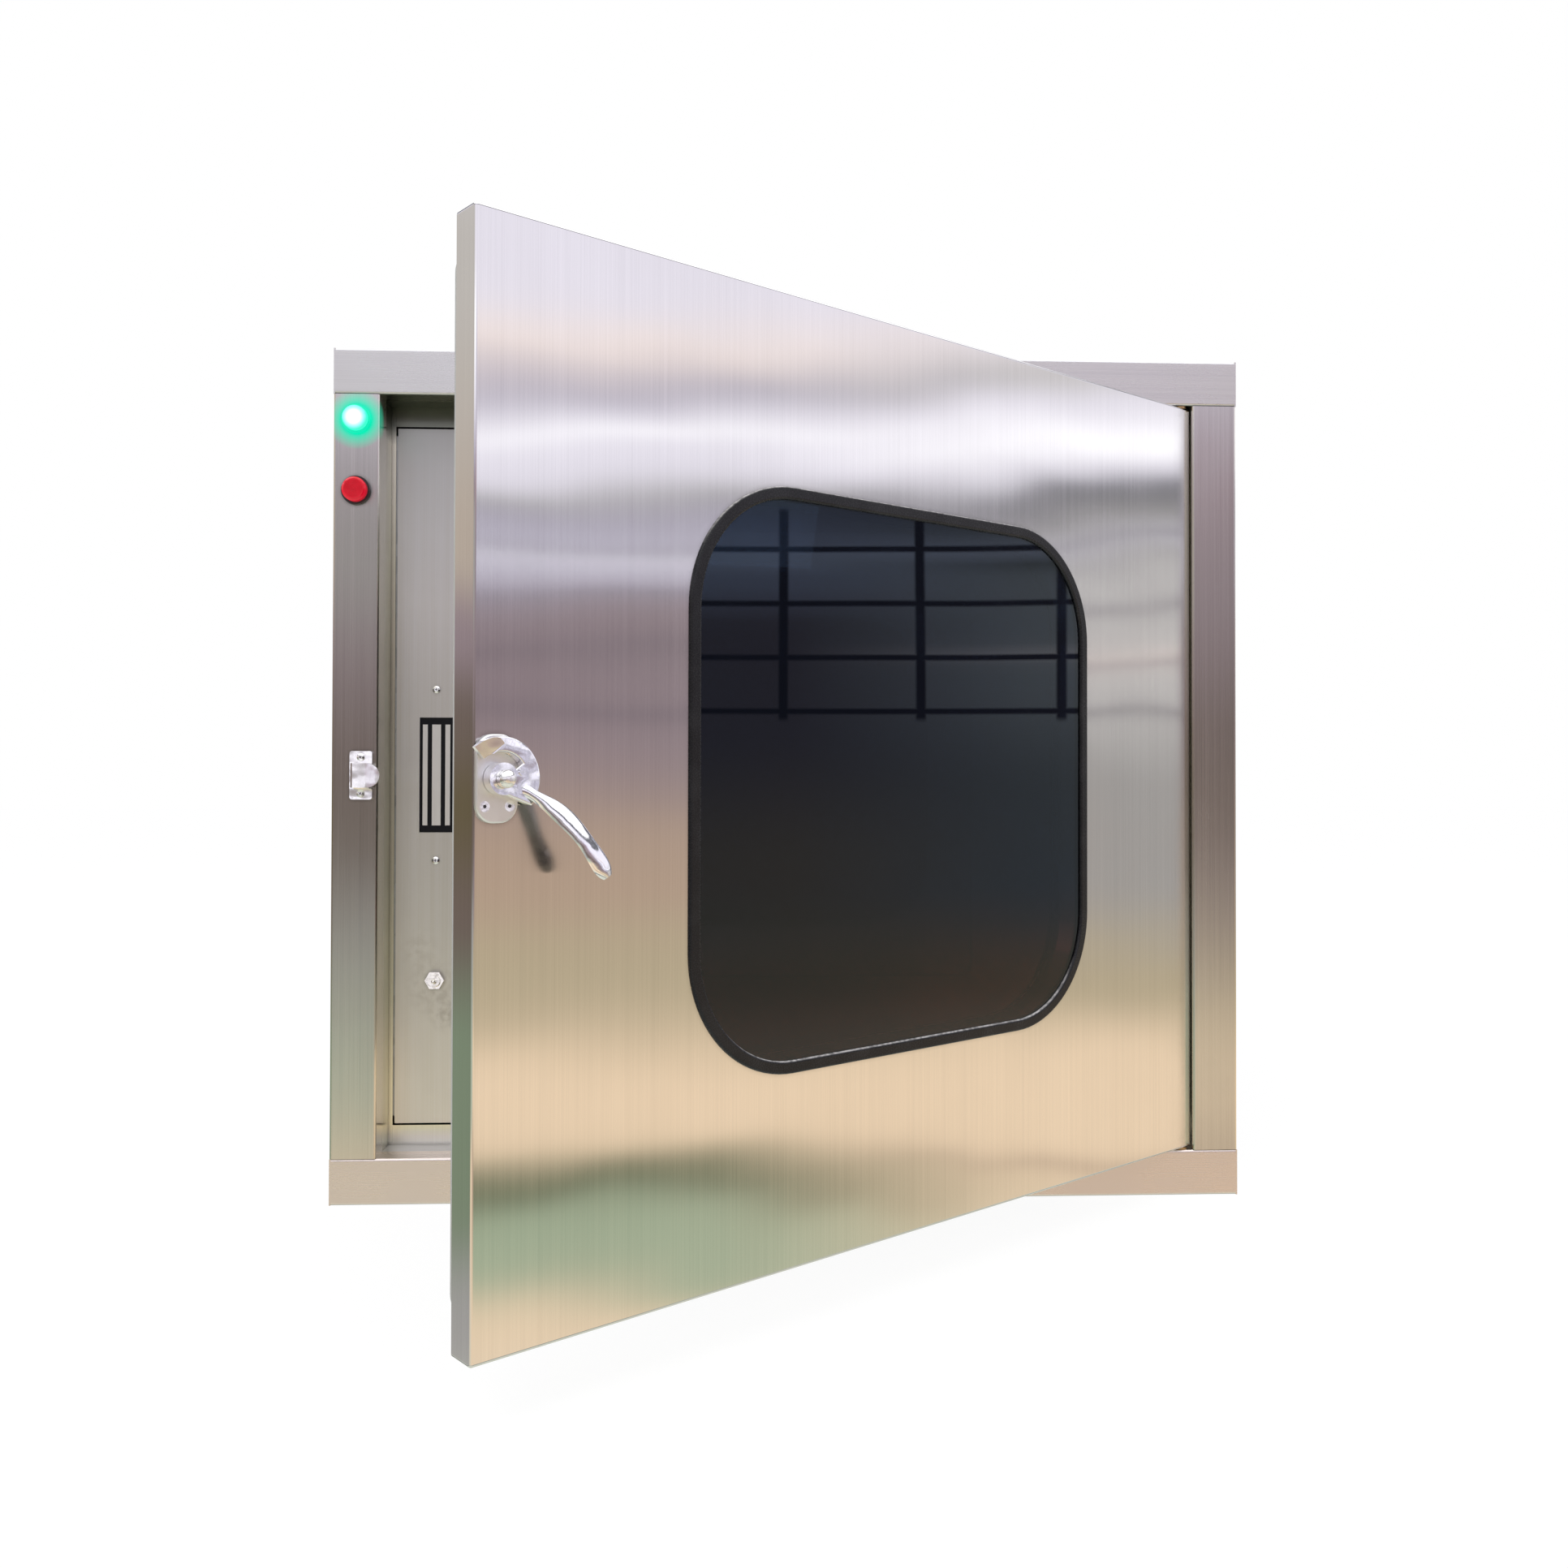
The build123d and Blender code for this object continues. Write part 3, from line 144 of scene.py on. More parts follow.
class Shade(Nodes):
    """One material's nodes, round a principled shader."""

    def __init__(self, name):
        self.material = bpy.data.materials.new(name)
        self.material.use_nodes = True
        super().__init__(self.material.node_tree)
        self.output = self.add("OutputMaterial")
        self.bsdf = self.add("BsdfPrincipled")
        self.put(self.output.inputs["Surface"], self.bsdf.outputs[0])
        self.coords = self.add("TexCoord").outputs["Object"]

    def set(self, **inputs):
        """Set the shader's own sockets, named with underscores for spaces."""
        for key, value in inputs.items():
            self.put(self.bsdf.inputs[key.replace("_", " ")], value)

    def stretch(self, scale, turn):
        """Object coordinates, turned about Z and scaled on each axis."""
        node = self.add("Mapping")
        node.vector_type = "POINT"
        self.put(node.inputs["Vector"], self.coords)
        node.inputs["Rotation"].default_value = (0, 0, turn)
        node.inputs["Scale"].default_value = scale
        return node.outputs[0]

    def noise(self, scale, detail=2.0, turn=0.0, rough=0.5):
        """Noise of 0 to 1; scale is a number, or one number for each axis."""
        node = self.add("TexNoise")
        if hasattr(scale, "__len__"):
            self.put(node.inputs["Vector"], self.stretch(scale, turn))
            node.inputs["Scale"].default_value = 1
        else:
            self.put(node.inputs["Vector"], self.coords)
            node.inputs["Scale"].default_value = scale
        node.inputs["Detail"].default_value = detail
        node.inputs["Roughness"].default_value = rough
        return node.outputs["Fac"]

    def bump(self, height, distance, strength=1.0, under=None):
        """Normal of a relief, laid over another normal where one is given."""
        node = self.add("Bump")
        node.inputs["Strength"].default_value = strength
        node.inputs["Distance"].default_value = distance
        self.put(node.inputs["Height"], height)
        if under is not None:
            self.put(node.inputs["Normal"], under)
        return node.outputs[0]

    def level_tangent(self, upright=False):
        """Horizontal tangent on any upright face, or the one that runs up it."""
        normal = self.add("NewGeometry").outputs["Normal"]
        level = self.vector("CROSS_PRODUCT", normal, (0.01, 0.01, 1))
        return self.vector("CROSS_PRODUCT", normal, level) if upright else level

    def facing(self, way):
        """How far a face of the resting piece points one way: 1 straight at it, -1 straight away."""
        return self.vector("DOT_PRODUCT", self.add("TexCoord").outputs["Normal"], way)

    def height(self):
        """Height over the part's base."""
        return self.axes(self.coords)["Z"]

    def painted_seam_shade(self, base, weight=0.6):
        """Painted shade: a dark line where another piece closes in on the surface."""
        node = self.add("AmbientOcclusion")
        node.samples = 4
        node.inputs["Distance"].default_value = 0.004
        closed = self.math("MULTIPLY", self.spread(node.outputs["AO"], 0.35, 0.95, 1, 0), weight)
        return self.mix(closed, base, SEAM_SHADE_TONE)

    def splotch(self, centre, radius, soft):
        """1 inside a ball round a point, falling to 0 over a soft edge."""
        away = self.vector("DISTANCE", self.coords, centre)
        return self.spread(away, radius, radius + soft, 1, 0)

    def lamp_radius(self, level):
        """Distance from the nearer axis of the two ends' lamps at one height."""
        from_axis = []
        for sign in (1, -1):
            offset = self.vector("SUBTRACT", self.coords, (sign * LAMP_X, 0, level))
            from_axis.append(self.vector("LENGTH", self.vector("MULTIPLY", offset, (1, 0, 1))))
        return self.math("MINIMUM", *from_axis)


# ---- Metals ---------------------------------------------------------------------------------

def grained(grain, across, along):
    """Noise scale on each axis, finer across the grain than along it."""
    return (across, across, along) if grain == "z" else (along, across, across)


def brushed(name, colour, rough, aniso, grain="z", turn=0.0, waviness=0.0, stain=0.05, streak=0.07,
            uneven=0.14, extra=None):
    """Brushed stainless: fine streaks along the grain, long soft bands, faint smears."""
    shade = Shade(name)
    hair = shade.noise(grained(grain, 1300, 5), 3, turn)
    band = shade.noise(grained(grain, 160, 1.2), 2, turn)
    wide = shade.noise(grained(grain, 28, 0.7), 1, turn)
    smear = shade.spread(shade.noise(7, 4, rough=0.62), 0.42, 0.72)
    tone = shade.weigh(0.0, (hair, 0.5), (band, 0.3), (wide, 0.2))
    base = shade.mix(shade.spread(tone, 0.36, 0.64), toned(colour, 1 - streak), toned(colour, 1 + streak))
    base = shade.mix(shade.math("MULTIPLY", smear, stain), base, SMEAR)
    # painted shade where other pieces meet the steel
    base = shade.painted_seam_shade(base)
    if extra:
        base = extra(shade, base)
    roughness = shade.weigh(rough - uneven / 2, (tone, uneven), (smear, uneven / 3))
    normal = shade.bump(hair, 0.00002, 0.35)
    if waviness:
        normal = shade.bump(shade.noise((2.6, 2.6, 4.2), 1.5, turn), waviness, 1.0, normal)
    shade.set(Base_Color=base, Metallic=1.0, Roughness=roughness, Normal=normal,
              Anisotropic=aniso, Tangent=shade.level_tangent(upright=grain != "z"))
    return shade.material


def door_steel(name, turn):
    """Finely brushed, gently wavy sheet, with its grain turned with its door."""
    return brushed(name, (0.81, 0.80, 0.79), 0.12, 0.93, turn=turn, waviness=0.0022, stain=0.04,
                   streak=0.04, uneven=0.05)


def polished(name, colour, rough, dents, scale, lift, back=None):
    """Cast and plated metal: a wavy crowned skin (lift turns it up), fine scratches, and painted shade on
    its back.
    """
    shade = Shade(name)
    grime = shade.spread(shade.noise(60, 4), 0.5, 0.75)
    scratch = shade.spread(shade.noise((900, 160, 420), 2), 0.52, 0.62)
    base = shade.mix(shade.math("MULTIPLY", grime, 0.25), colour, toned(colour, 0.7))
    # painted shade on faces that look the way of back
    if back:
        base = shade.mix(shade.spread(shade.facing(back), 0.3, 0.8), base, PAINTED_BACK_SHADE)
    normal = shade.bump(shade.noise(scale, 1), dents, 0.8)
    normal = shade.bump(scratch, 0.00001, 0.4, normal)
    normal = shade.vector("NORMALIZE", shade.vector("ADD", normal, (0, 0, lift)))
    shade.set(Base_Color=base, Metallic=1.0, Normal=normal,
              Roughness=shade.weigh(rough, (scratch, 0.06), (grime, 0.1)))
    return shade.material


def satin(name, colour, rough, grain):
    """Satin or plated metal with a fine matt grain."""
    shade = Shade(name)
    speck = shade.noise(grain, 3)
    base = shade.mix(shade.noise(45, 3), toned(colour, 0.86), toned(colour, 1.08))
    shade.set(Base_Color=base, Metallic=1.0, Normal=shade.bump(speck, 0.00003, 0.4),
              Roughness=shade.spread(speck, 0.3, 0.7, rough - 0.07, rough + 0.08))
    return shade.material


def spangled(name):
    """Galvanised sheet: crystal patches of slightly different grey."""
    shade = Shade(name)
    cells = shade.add("TexVoronoi")
    shade.put(cells.inputs["Vector"], shade.coords)
    cells.inputs["Scale"].default_value = 70
    tone = shade.math("MULTIPLY", cells.outputs["Color"], 1.0)      # one number from the colour
    base = shade.mix(tone, (0.42, 0.44, 0.46), (0.62, 0.64, 0.66))
    shade.set(Base_Color=base, Metallic=1.0, Roughness=shade.spread(tone, 0, 1, 0.32, 0.5),
              Normal=shade.bump(shade.noise(300, 2), 0.00003, 0.5))
    return shade.material


# ---- Rubber, plastic and glass --------------------------------------------------------------

def rubber(name, colour, rough, speck=900, dust=0.25, extra=None):
    """Moulded rubber with a fine skin and dust in its hollows."""
    shade = Shade(name)
    cloud = shade.spread(shade.noise(38, 4), 0.45, 0.75)
    base = shade.mix(shade.math("MULTIPLY", cloud, dust), colour, [c * 1.6 + 0.03 for c in colour])
    if extra:
        base = extra(shade, base)
    skin = shade.noise(speck, 3)
    shade.set(Base_Color=base, Roughness=shade.spread(skin, 0.3, 0.7, rough - 0.06, rough + 0.1),
              Normal=shade.bump(skin, 0.00005, 0.5), Specular_IOR_Level=0.3)
    return shade.material


def moulded(name, colour, rough, speck=1200, coat=0.0, shine=0.5, extra=None):
    """Moulded plastic, resin or paint."""
    shade = Shade(name)
    base = shade.mix(shade.noise(55, 3), toned(colour, 0.88), toned(colour, 1.12))
    if extra:
        base = extra(shade, base)
    skin = shade.noise(speck, 2)
    shade.set(Base_Color=base, Roughness=shade.spread(skin, 0.3, 0.7, rough - 0.05, rough + 0.07),
              Normal=shade.bump(skin, 0.00003, 0.35), Coat_Weight=coat, Specular_IOR_Level=shine)
    return shade.material


def tinted_glass(name):
    """Dark blue pane with a faint film of dust, and a painted brown reflection of the floor low down."""
    shade = Shade(name)
    film = shade.spread(shade.noise(9, 4, rough=0.6), 0.4, 0.8)
    streak = shade.spread(shade.noise((40, 40, 5), 3), 0.45, 0.75)
    tint = shade.mix(film, (0.07, 0.10, 0.15), (0.10, 0.13, 0.18))
    # painted brown reflection of the floor on the lower part of the pane
    tint = shade.mix(shade.spread(shade.height(), 0.33, 0.24), tint, (0.26, 0.11, 0.08))
    shade.set(Base_Color=tint, Transmission_Weight=1.0, IOR=1.6, Specular_Tint=(0.62, 0.80, 1.0),
              Roughness=shade.weigh(0.0, (film, 0.02), (streak, 0.012)),
              Normal=shade.bump(shade.noise(2.2, 1), 0.0004, 0.6))
    return shade.material


def tube_glass(name):
    """Quartz tube: pale and slightly milky."""
    shade = Shade(name)
    milk = shade.noise(30, 2)
    shade.set(Base_Color=shade.mix(milk, (0.86, 0.90, 0.95), (0.94, 0.96, 0.98)), Roughness=0.08,
              Transmission_Weight=0.6, IOR=1.46, Normal=shade.bump(milk, 0.0001, 0.3))
    return shade.material


def lit_lens(name):
    """Green lens, lit from behind: white-hot in the middle and saturated at the rim."""
    shade = Shade(name)
    away = shade.lamp_radius(LAMP_TOP)
    rib = shade.math("SINE", shade.math("MULTIPLY", away, 5200))
    glow = shade.mix(shade.spread(away, 0.004, 0.0125, 1, 0), LAMP_GREEN, (0.62, 1.0, 0.86))
    shade.set(Base_Color=(0.05, 0.55, 0.36), Roughness=0.18, Emission_Color=glow,
              Emission_Strength=shade.spread(away, 0.003, 0.0125, 3.2, 1.1),
              Normal=shade.bump(rib, 0.0001, 0.3))
    return shade.material


def dark_lens(name):
    """Red lens: fluted inside, glossy outside, with a faint glow of its own."""
    shade = Shade(name)
    away = shade.lamp_radius(LAMP_LOW)
    rib = shade.math("SINE", shade.math("MULTIPLY", away, 4600))
    body = shade.mix(shade.noise(160, 3), (0.34, 0.001, 0.008), (0.50, 0.002, 0.014))
    base = shade.mix(shade.spread(away, 0.0085, 0.0118), body, (0.66, 0.01, 0.03))
    shade.set(Base_Color=base, Roughness=0.16, Specular_IOR_Level=0.3, Coat_Weight=0.2,
              Emission_Color=base, Emission_Strength=0.55, Normal=shade.bump(rib, 0.00012, 0.35))
    return shade.material


# ---- Marks, lamp glow, painted highlights and painted shade on single kinds of piece --------

def lamp_glow(shade, base):
    """Green spill of the lit lamps, kept as the surface's own emission."""
    spills = [shade.splotch((sign * LAMP_X, sign * FACE_Y, LAMP_TOP), 0.0155, 0.0145) for sign in (1, -1)]
    spill = shade.math("MAXIMUM", *spills)
    shade.set(Emission_Color=LAMP_GREEN, Emission_Strength=spill)
    return shade.mix(shade.math("MULTIPLY", spill, 0.92), base, (0.0, 0.30, 0.20))


def painted_side_highlight(shade, base):
    """Painted highlight on the side folds of the frame, brighter than its face."""
    across = shade.math("ABSOLUTE", shade.facing((1, 0, 0)))
    # painted highlight on faces that look along X
    return shade.mix(across, base, (0.93, 0.90, 0.80))


def painted_underside_shade(shade, base):
    """Painted shade on faces that look down."""
    down = shade.spread(shade.facing((0, 0, -1)), 0.5, 0.9, 0, 0.92)
    return shade.mix(down, base, UNDERSIDE_SHADE_TONE)


def painted_lip_highlight(shade, base):
    """Painted highlight on the lips that face up, broken into patches by noise."""
    up = shade.spread(shade.facing((0, 0, 1)), 0.45, 0.85)
    highlight_breakup = shade.spread(shade.noise(260, 3), 0.38, 0.60, 0.35, 1)
    # painted reflection of the floor on the lips that face up
    return shade.mix(shade.math("MULTIPLY", up, highlight_breakup), base, (0.70, 0.68, 0.68))


def stile_glow_and_highlight(shade, base):
    """Lamp glow and a painted highlight on the sides of the stiles."""
    return lamp_glow(shade, painted_side_highlight(shade, base))


def rail_highlight_and_shade(shade, base):
    """Painted highlight on the rails' sides, painted shade under them, and a warm painted reflection of the
    floor on the bottom ones.
    """
    # warm painted reflection of the floor, strongest low down
    base = shade.mix(shade.spread(shade.height(), 0.50, 0.30), base, (0.94, 0.84, 0.78))
    return painted_underside_shade(shade, painted_side_highlight(shade, base))


def liner_painted_shade(shade, base):
    """Painted shade in the top of the opening, on the sill and on faces that look down."""
    # painted shade high in the opening
    base = shade.mix(shade.spread(shade.height(), 0.766, 0.786, 0, 0.9), base, (0.16, 0.18, 0.15))
    # painted shade on the sill and other faces that look up
    base = shade.mix(shade.spread(shade.facing((0, 0, 1)), 0.5, 0.9), base, (0.78, 0.77, 0.78))
    return painted_underside_shade(shade, base)


def cover_marks_and_shade(shade, base):
    """Marks left by welding and wiping on the front lock cover, and painted shade high up."""
    # painted shade, darker towards the top of the cover
    base = shade.mix(shade.spread(shade.height(), 0.60, 0.80, 0, 0.9), base, (0.50, 0.51, 0.49))
    cover_y = FACE_Y + COVER_DEPTH
    for x, z, radius, soft, weight, tint in ((-0.363, 0.205, 0.004, 0.030, 0.30, (0.40, 0.37, 0.33)),
                                             (-0.352, 0.178, 0.002, 0.018, 0.35, (0.36, 0.34, 0.31)),
                                             (-0.379, 0.245, 0.003, 0.022, 0.18, (0.46, 0.42, 0.36))):
        rag = shade.math("MULTIPLY", shade.splotch((x, cover_y, z), radius, soft),
                         shade.spread(shade.noise(120, 4), 0.4, 0.62))
        base = shade.mix(shade.math("MULTIPLY", rag, weight), base, tint)
    return base


# ---- The finishes, and the pieces that wear them --------------------------------------------

steel_upright = brushed("steel_upright", (0.70, 0.69, 0.67), 0.22, 0.85, extra=stile_glow_and_highlight)
steel_level = brushed("steel_level", (0.84, 0.84, 0.84), 0.26, 0.8, "x", streak=0.05, extra=rail_highlight_and_shade)
steel_door_front = door_steel("steel_door_front", -DOOR_TURN)
steel_door_rear = door_steel("steel_door_rear", 0.0)
steel_liner = brushed("steel_liner", (0.97, 0.95, 0.82), 0.30, 0.7, stain=0.10, extra=liner_painted_shade)
steel_cover = brushed("steel_cover", (0.98, 0.97, 0.93), 0.40, 0.5, stain=0.08, extra=cover_marks_and_shade)
steel_casing = brushed("steel_casing", (0.68, 0.68, 0.67), 0.30, 0.75, stain=0.08)
core_plate = brushed("core_plate", (0.97, 0.96, 0.95), 0.50, 0.2, streak=0.03)
zinc = spangled("zinc_sheet")

CHROME = (0.96, 0.96, 0.98)
PALE_PLATING = (0.98, 0.97, 0.95)
chrome_front = polished("chrome_front", CHROME, 0.08, 0.0013, 62, 0.10,
                        back=(-sin(DOOR_TURN), cos(DOOR_TURN), 0))
chrome_rear = polished("chrome_rear", CHROME, 0.08, 0.0013, 62, 0.10, back=(0, -1, 0))
chrome_strike = polished("chrome_strike", PALE_PLATING, 0.16, 0.0016, 70, 0.14)
bright_screw = polished("bright_screw", PALE_PLATING, 0.24, 0.0004, 260, 0.12)
nickel = polished("nickel_plate", (0.99, 0.96, 0.86), 0.20, 0.0010, 150, 0.25)

satin_plate = satin("satin_plate", (0.97, 0.96, 0.96), 0.42, 1600)
ground_pin = satin("ground_pin", (0.66, 0.66, 0.66), 0.2, 1500)
bronze = satin("bearing_bronze", (0.52, 0.35, 0.18), 0.35, 1100)
alloy = satin("supply_alloy", (0.70, 0.70, 0.71), 0.38, 900)

resin = moulded("potting_resin", (0.010, 0.010, 0.013), 0.42, 1500, shine=0.15)
black_plastic = moulded("black_plastic", (0.028, 0.028, 0.030), 0.30, extra=lamp_glow)
white_paint = moulded("white_paint", (0.80, 0.81, 0.80), 0.28, 420, 0.2)
laminate = moulded("board_laminate", (0.03, 0.17, 0.08), 0.3, 800, 0.3)
nylon = moulded("gland_nylon", (0.05, 0.05, 0.055), 0.4)
gasket_rubber = rubber("gasket_rubber", (0.012, 0.012, 0.014), 0.24, extra=painted_lip_highlight)
seal_rubber = rubber("seal_rubber", (0.50, 0.50, 0.48), 0.55, 700, 0.15)
glass_tinted = tinted_glass("glass_tinted")
glass_tube = tube_glass("glass_tube")
lens_green = lit_lens("lens_green")
lens_red = dark_lens("lens_red")

# A piece takes the first finish whose words are in its name.
FINISHES = (
    ("_door_seal", seal_rubber), ("_window_gaskets", gasket_rubber), ("_window_panes", glass_tinted),
    ("_maglock_housing", resin), ("_maglock_core", core_plate), ("_armature_plate", core_plate),
    ("_switch_", nickel), ("pivot_bushes", bronze), ("_hinge_pins", ground_pin),
    ("_strike", chrome_strike), ("front_handle_lever", chrome_front),
    ("rear_handle_lever", chrome_rear), ("_handle_base", satin_plate),
    ("_handle_fasteners", bright_screw), ("panel_screws", bright_screw), ("green_lamp", lens_green),
    ("red_lamp", lens_red), ("pilot_lamp_bodies", black_plastic), ("uv_lamp_fitting", white_paint),
    ("uv_lamp_tube", glass_tube), ("power_supply", alloy), ("interlock_board", laminate),
    ("cable_gland", nylon), ("_rail", steel_level), ("_stile", steel_upright),
    ("casing_", steel_casing), ("service_hatch", steel_casing), ("front_door_", steel_door_front),
    ("rear_door_", steel_door_rear), ("_lock_cover", steel_cover), ("_lock_channel", zinc),
    ("liner", steel_liner))

for name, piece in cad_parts.items():
    finish = next(material for words, material in FINISHES if words in name)
    piece.data.materials.clear()
    piece.data.materials.append(finish)


# ---- Screw recesses: thin forms on the heads, dark with painted shade, modelled facing +Z ---

# painted shade inside the screws' sockets
painted_recess_shade = satin("painted_recess_shade", (0.10, 0.10, 0.11), 0.45, 1800)
RIM, STEP, MIDDLE = 0.00010, 0.00004, 0.00002           # heights over the screw's head
BAR = 0.00006                                           # and of the cross's edge


def recess_mesh(name, bm):
    """Make a mesh of a finished bmesh, dark with the sockets' painted shade."""
    mesh = bpy.data.meshes.new(name)
    bm.to_mesh(mesh)
    bm.free()
    mesh.materials.append(painted_recess_shade)
    return mesh


def hex_recess_mesh(name, radius, inner):
    """Hexagonal socket, dished to its middle."""
    bm = bmesh.new()
    rings = []
    for reach, height in ((radius, RIM), (inner, STEP), (inner / 2, MIDDLE)):
        rings.append([bm.verts.new((reach * cos(2 * pi * i / 6), reach * sin(2 * pi * i / 6), height))
                      for i in range(6)])
    for outer, within in zip(rings, rings[1:]):
        for i in range(6):
            after = (i + 1) % 6
            bm.faces.new((outer[i], outer[after], within[after], within[i]))
    bm.faces.new(rings[-1])
    return recess_mesh(name, bm)


def cross_recess_mesh(name, reach, width):
    """Two crossed bars with narrowed ends, dished to the middle."""
    bm = bmesh.new()
    half = width / 2
    points = []
    for quarter in range(4):
        turn = Matrix.Rotation(quarter * pi / 2, 3, "Z")
        for x, y in ((half, half), (reach, half * 0.7), (reach, -half * 0.7)):
            points.append(turn @ Vector((x, y, BAR)))
    points.sort(key=lambda point: atan2(point.y, point.x))
    ring = [bm.verts.new(point) for point in points]
    centre = bm.verts.new((0, 0, MIDDLE))
    for a, b in zip(ring, ring[1:] + ring[:1]):
        bm.faces.new((a, b, centre))
    return recess_mesh(name, bm)


hex_recess = hex_recess_mesh("hex_recess", 0.0013, 0.0011)
cross_recess = cross_recess_mesh("cross_recess", 0.0016, 0.0007)


def place_recess(name, mesh, spot, normal, body, turn):
    """Lay a recess on a screw's head, and let it ride with the screw's body."""
    piece = bpy.data.objects.new(name, mesh)
    bpy.context.scene.collection.objects.link(piece)
    facing = Vector(normal).to_track_quat("Z", "Y").to_matrix().to_4x4()
    piece.matrix_world = Matrix.Translation(spot) @ facing @ Matrix.Rotation(turn, 4, "Z")
    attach(piece, body)


def swing(x, y):
    """A point of the shut front door, at the door's resting angle."""
    dx, dy = x - PIVOT_X, y - PIVOT_Y
    return (PIVOT_X + dx * cos(DOOR_TURN) - dy * sin(DOOR_TURN),
            PIVOT_Y + dx * sin(DOOR_TURN) + dy * cos(DOOR_TURN))


for i, (side, level) in enumerate(CORNERS):
    x, y = HUB_X + side * BASE_SCREW_X, FACE_Y - BASE_PLATE
    z = HUB_Z + level * BASE_SCREW_Z
    place_recess(f"front_handle_recess_{i}", hex_recess, (*swing(x, y), z),
                 (sin(DOOR_TURN), -cos(DOOR_TURN), 0), "front_door", 0.3 * i)
    place_recess(f"rear_handle_recess_{i}", hex_recess, (-x, -y, z), (0, 1, 0), "rear_door", 0.3 * i)

for end, sign in (("front", 1), ("rear", -1)):
    for i, (x, rise, depth) in enumerate((
            (STRIKE_X, STRIKE_SCREW_Z, -STRIKE_PLATE), (STRIKE_X, -STRIKE_SCREW_Z, -STRIKE_PLATE),
            (COVER_X, COVER_SCREW_Z, COVER_DEPTH), (COVER_X, -COVER_SCREW_Z, COVER_DEPTH))):
        spot = (sign * x, sign * (FACE_Y + depth - SCREW_HEAD), LATCH_Z + rise)
        place_recess(f"{end}_screw_recess_{i}", cross_recess, spot, (0, -sign, 0), "cabinet", 0.5 + 0.4 * i)

for i, (side, back) in enumerate(CORNERS):
    spot = (side * HATCH_SCREW_X, back * HATCH_SCREW_Y, HATCH_TOP + SCREW_HEAD)
    place_recess(f"hatch_recess_{i}", cross_recess, spot, (0, 0, 1), "cabinet", 0.35 * i)


# ---- Ground ---------------------------------------------------------------------------------

def ground_material(name):
    """Pale ground that melts into the studio's white; metal and glass mirror the room through it."""
    shade = Shade(name)
    path = shade.add("LightPath").outputs
    seen = shade.math("MAXIMUM", path["Is Camera Ray"], path["Is Transmission Ray"])
    pale = shade.add("Emission")
    shade.put(pale.inputs["Color"], (1, 1, 1))
    shade.put(pale.inputs["Strength"], 1.07)
    shade.set(Base_Color=shade.mix(shade.noise(3, 2), (0.86, 0.86, 0.86), (0.9, 0.9, 0.9)),
              Roughness=0.9, Specular_IOR_Level=0.1)
    lit = shade.mix_shaders(shade.math("MULTIPLY", seen, 0.86), shade.bsdf.outputs[0], pale.outputs[0])
    clear = shade.add("BsdfTransparent").outputs[0]
    shade.put(shade.output.inputs["Surface"], shade.mix_shaders(path["Is Glossy Ray"], lit, clear))
    return shade.material


GROUND_REACH = 12
ground_mesh = bpy.data.meshes.new("floor")
ground_mesh.from_pydata([(side * GROUND_REACH, back * GROUND_REACH, 0) for side, back in CORNERS],
                        [], [(0, 1, 3, 2)])
ground_mesh.materials.append(ground_material("floor"))
ground = bpy.data.objects.new("floor", ground_mesh)
bpy.context.scene.collection.objects.link(ground)


# ---- World ----------------------------------------------------------------------------------
# White to the camera, plain and pale to matt surfaces, and a softly banded workshop to metal and
# glass: warm ground low down, dim walls at mid-height, pale walls and lamps above.

world = bpy.data.worlds.new("studio")
bpy.context.scene.world = world
world.use_nodes = True
sky = Nodes(world.node_tree)
to_right, to_back, upward = sky.axes(sky.add("TexCoord").outputs["Generated"])
height = sky.spread(upward, -1, 1)

FLOOR = (1.00, 0.78, 0.55)
OLIVE = (0.56, 0.47, 0.32)
MOSS = (0.42, 0.51, 0.36)
DIM_MOSS = (0.23, 0.29, 0.20)
DARK_MOSS = (0.14, 0.17, 0.10)
GREEN_WALL = (0.52, 0.58, 0.46)
CLAY = (0.54, 0.40, 0.30)
MAUVE = (0.44, 0.31, 0.35)
DUSK = (0.33, 0.26, 0.285)
UMBER = (0.18, 0.14, 0.12)
DARK_UMBER = (0.15, 0.12, 0.07)
STEEL_GREY = (0.42, 0.41, 0.40)
SLATE = (0.50, 0.47, 0.58)
LILAC = (0.68, 0.65, 0.78)
TAUPE = (0.54, 0.46, 0.39)
PUTTY = (0.61, 0.58, 0.55)
PLASTER = (0.68, 0.66, 0.65)
PALE_WALL = (0.97, 0.94, 1.06)
PEACH = (1.15, 1.00, 0.94)
TRUSS = (0.16, 0.16, 0.18)
IRON = (0.10, 0.09, 0.12)
LAMPS = (1.45, 1.45, 1.50)
FAR_FLOOR = (0.72, 0.74, 0.64)
MATT_LIGHT = (0.62, 0.62, 0.63)

# Each band is the sine of an elevation and the colour there.
NEAR_GROUND = ((-0.80, FAR_FLOOR), (-0.62, FAR_FLOOR), (-0.54, TRUSS), (-0.46, FAR_FLOOR))
ROOF = ((0.47, PALE_WALL), (0.52, TRUSS), (0.60, TRUSS), (0.66, LAMPS), (0.90, LAMPS))


def bands(*stops):
    """Colour of one side of the room at each elevation, between the ground and the roof."""
    ramp = sky.add("ValToRGB")
    sky.put(ramp.inputs[0], height)
    ramp.color_ramp.interpolation = "EASE"
    elements = ramp.color_ramp.elements
    for i, (level, colour) in enumerate((*NEAR_GROUND, *stops, *ROOF)):
        place = (level + 1) / 2
        element = elements[i] if i < 2 else elements.new(place)
        element.position = place
        element.color = (*colour, 1)
    return ramp.outputs[0]


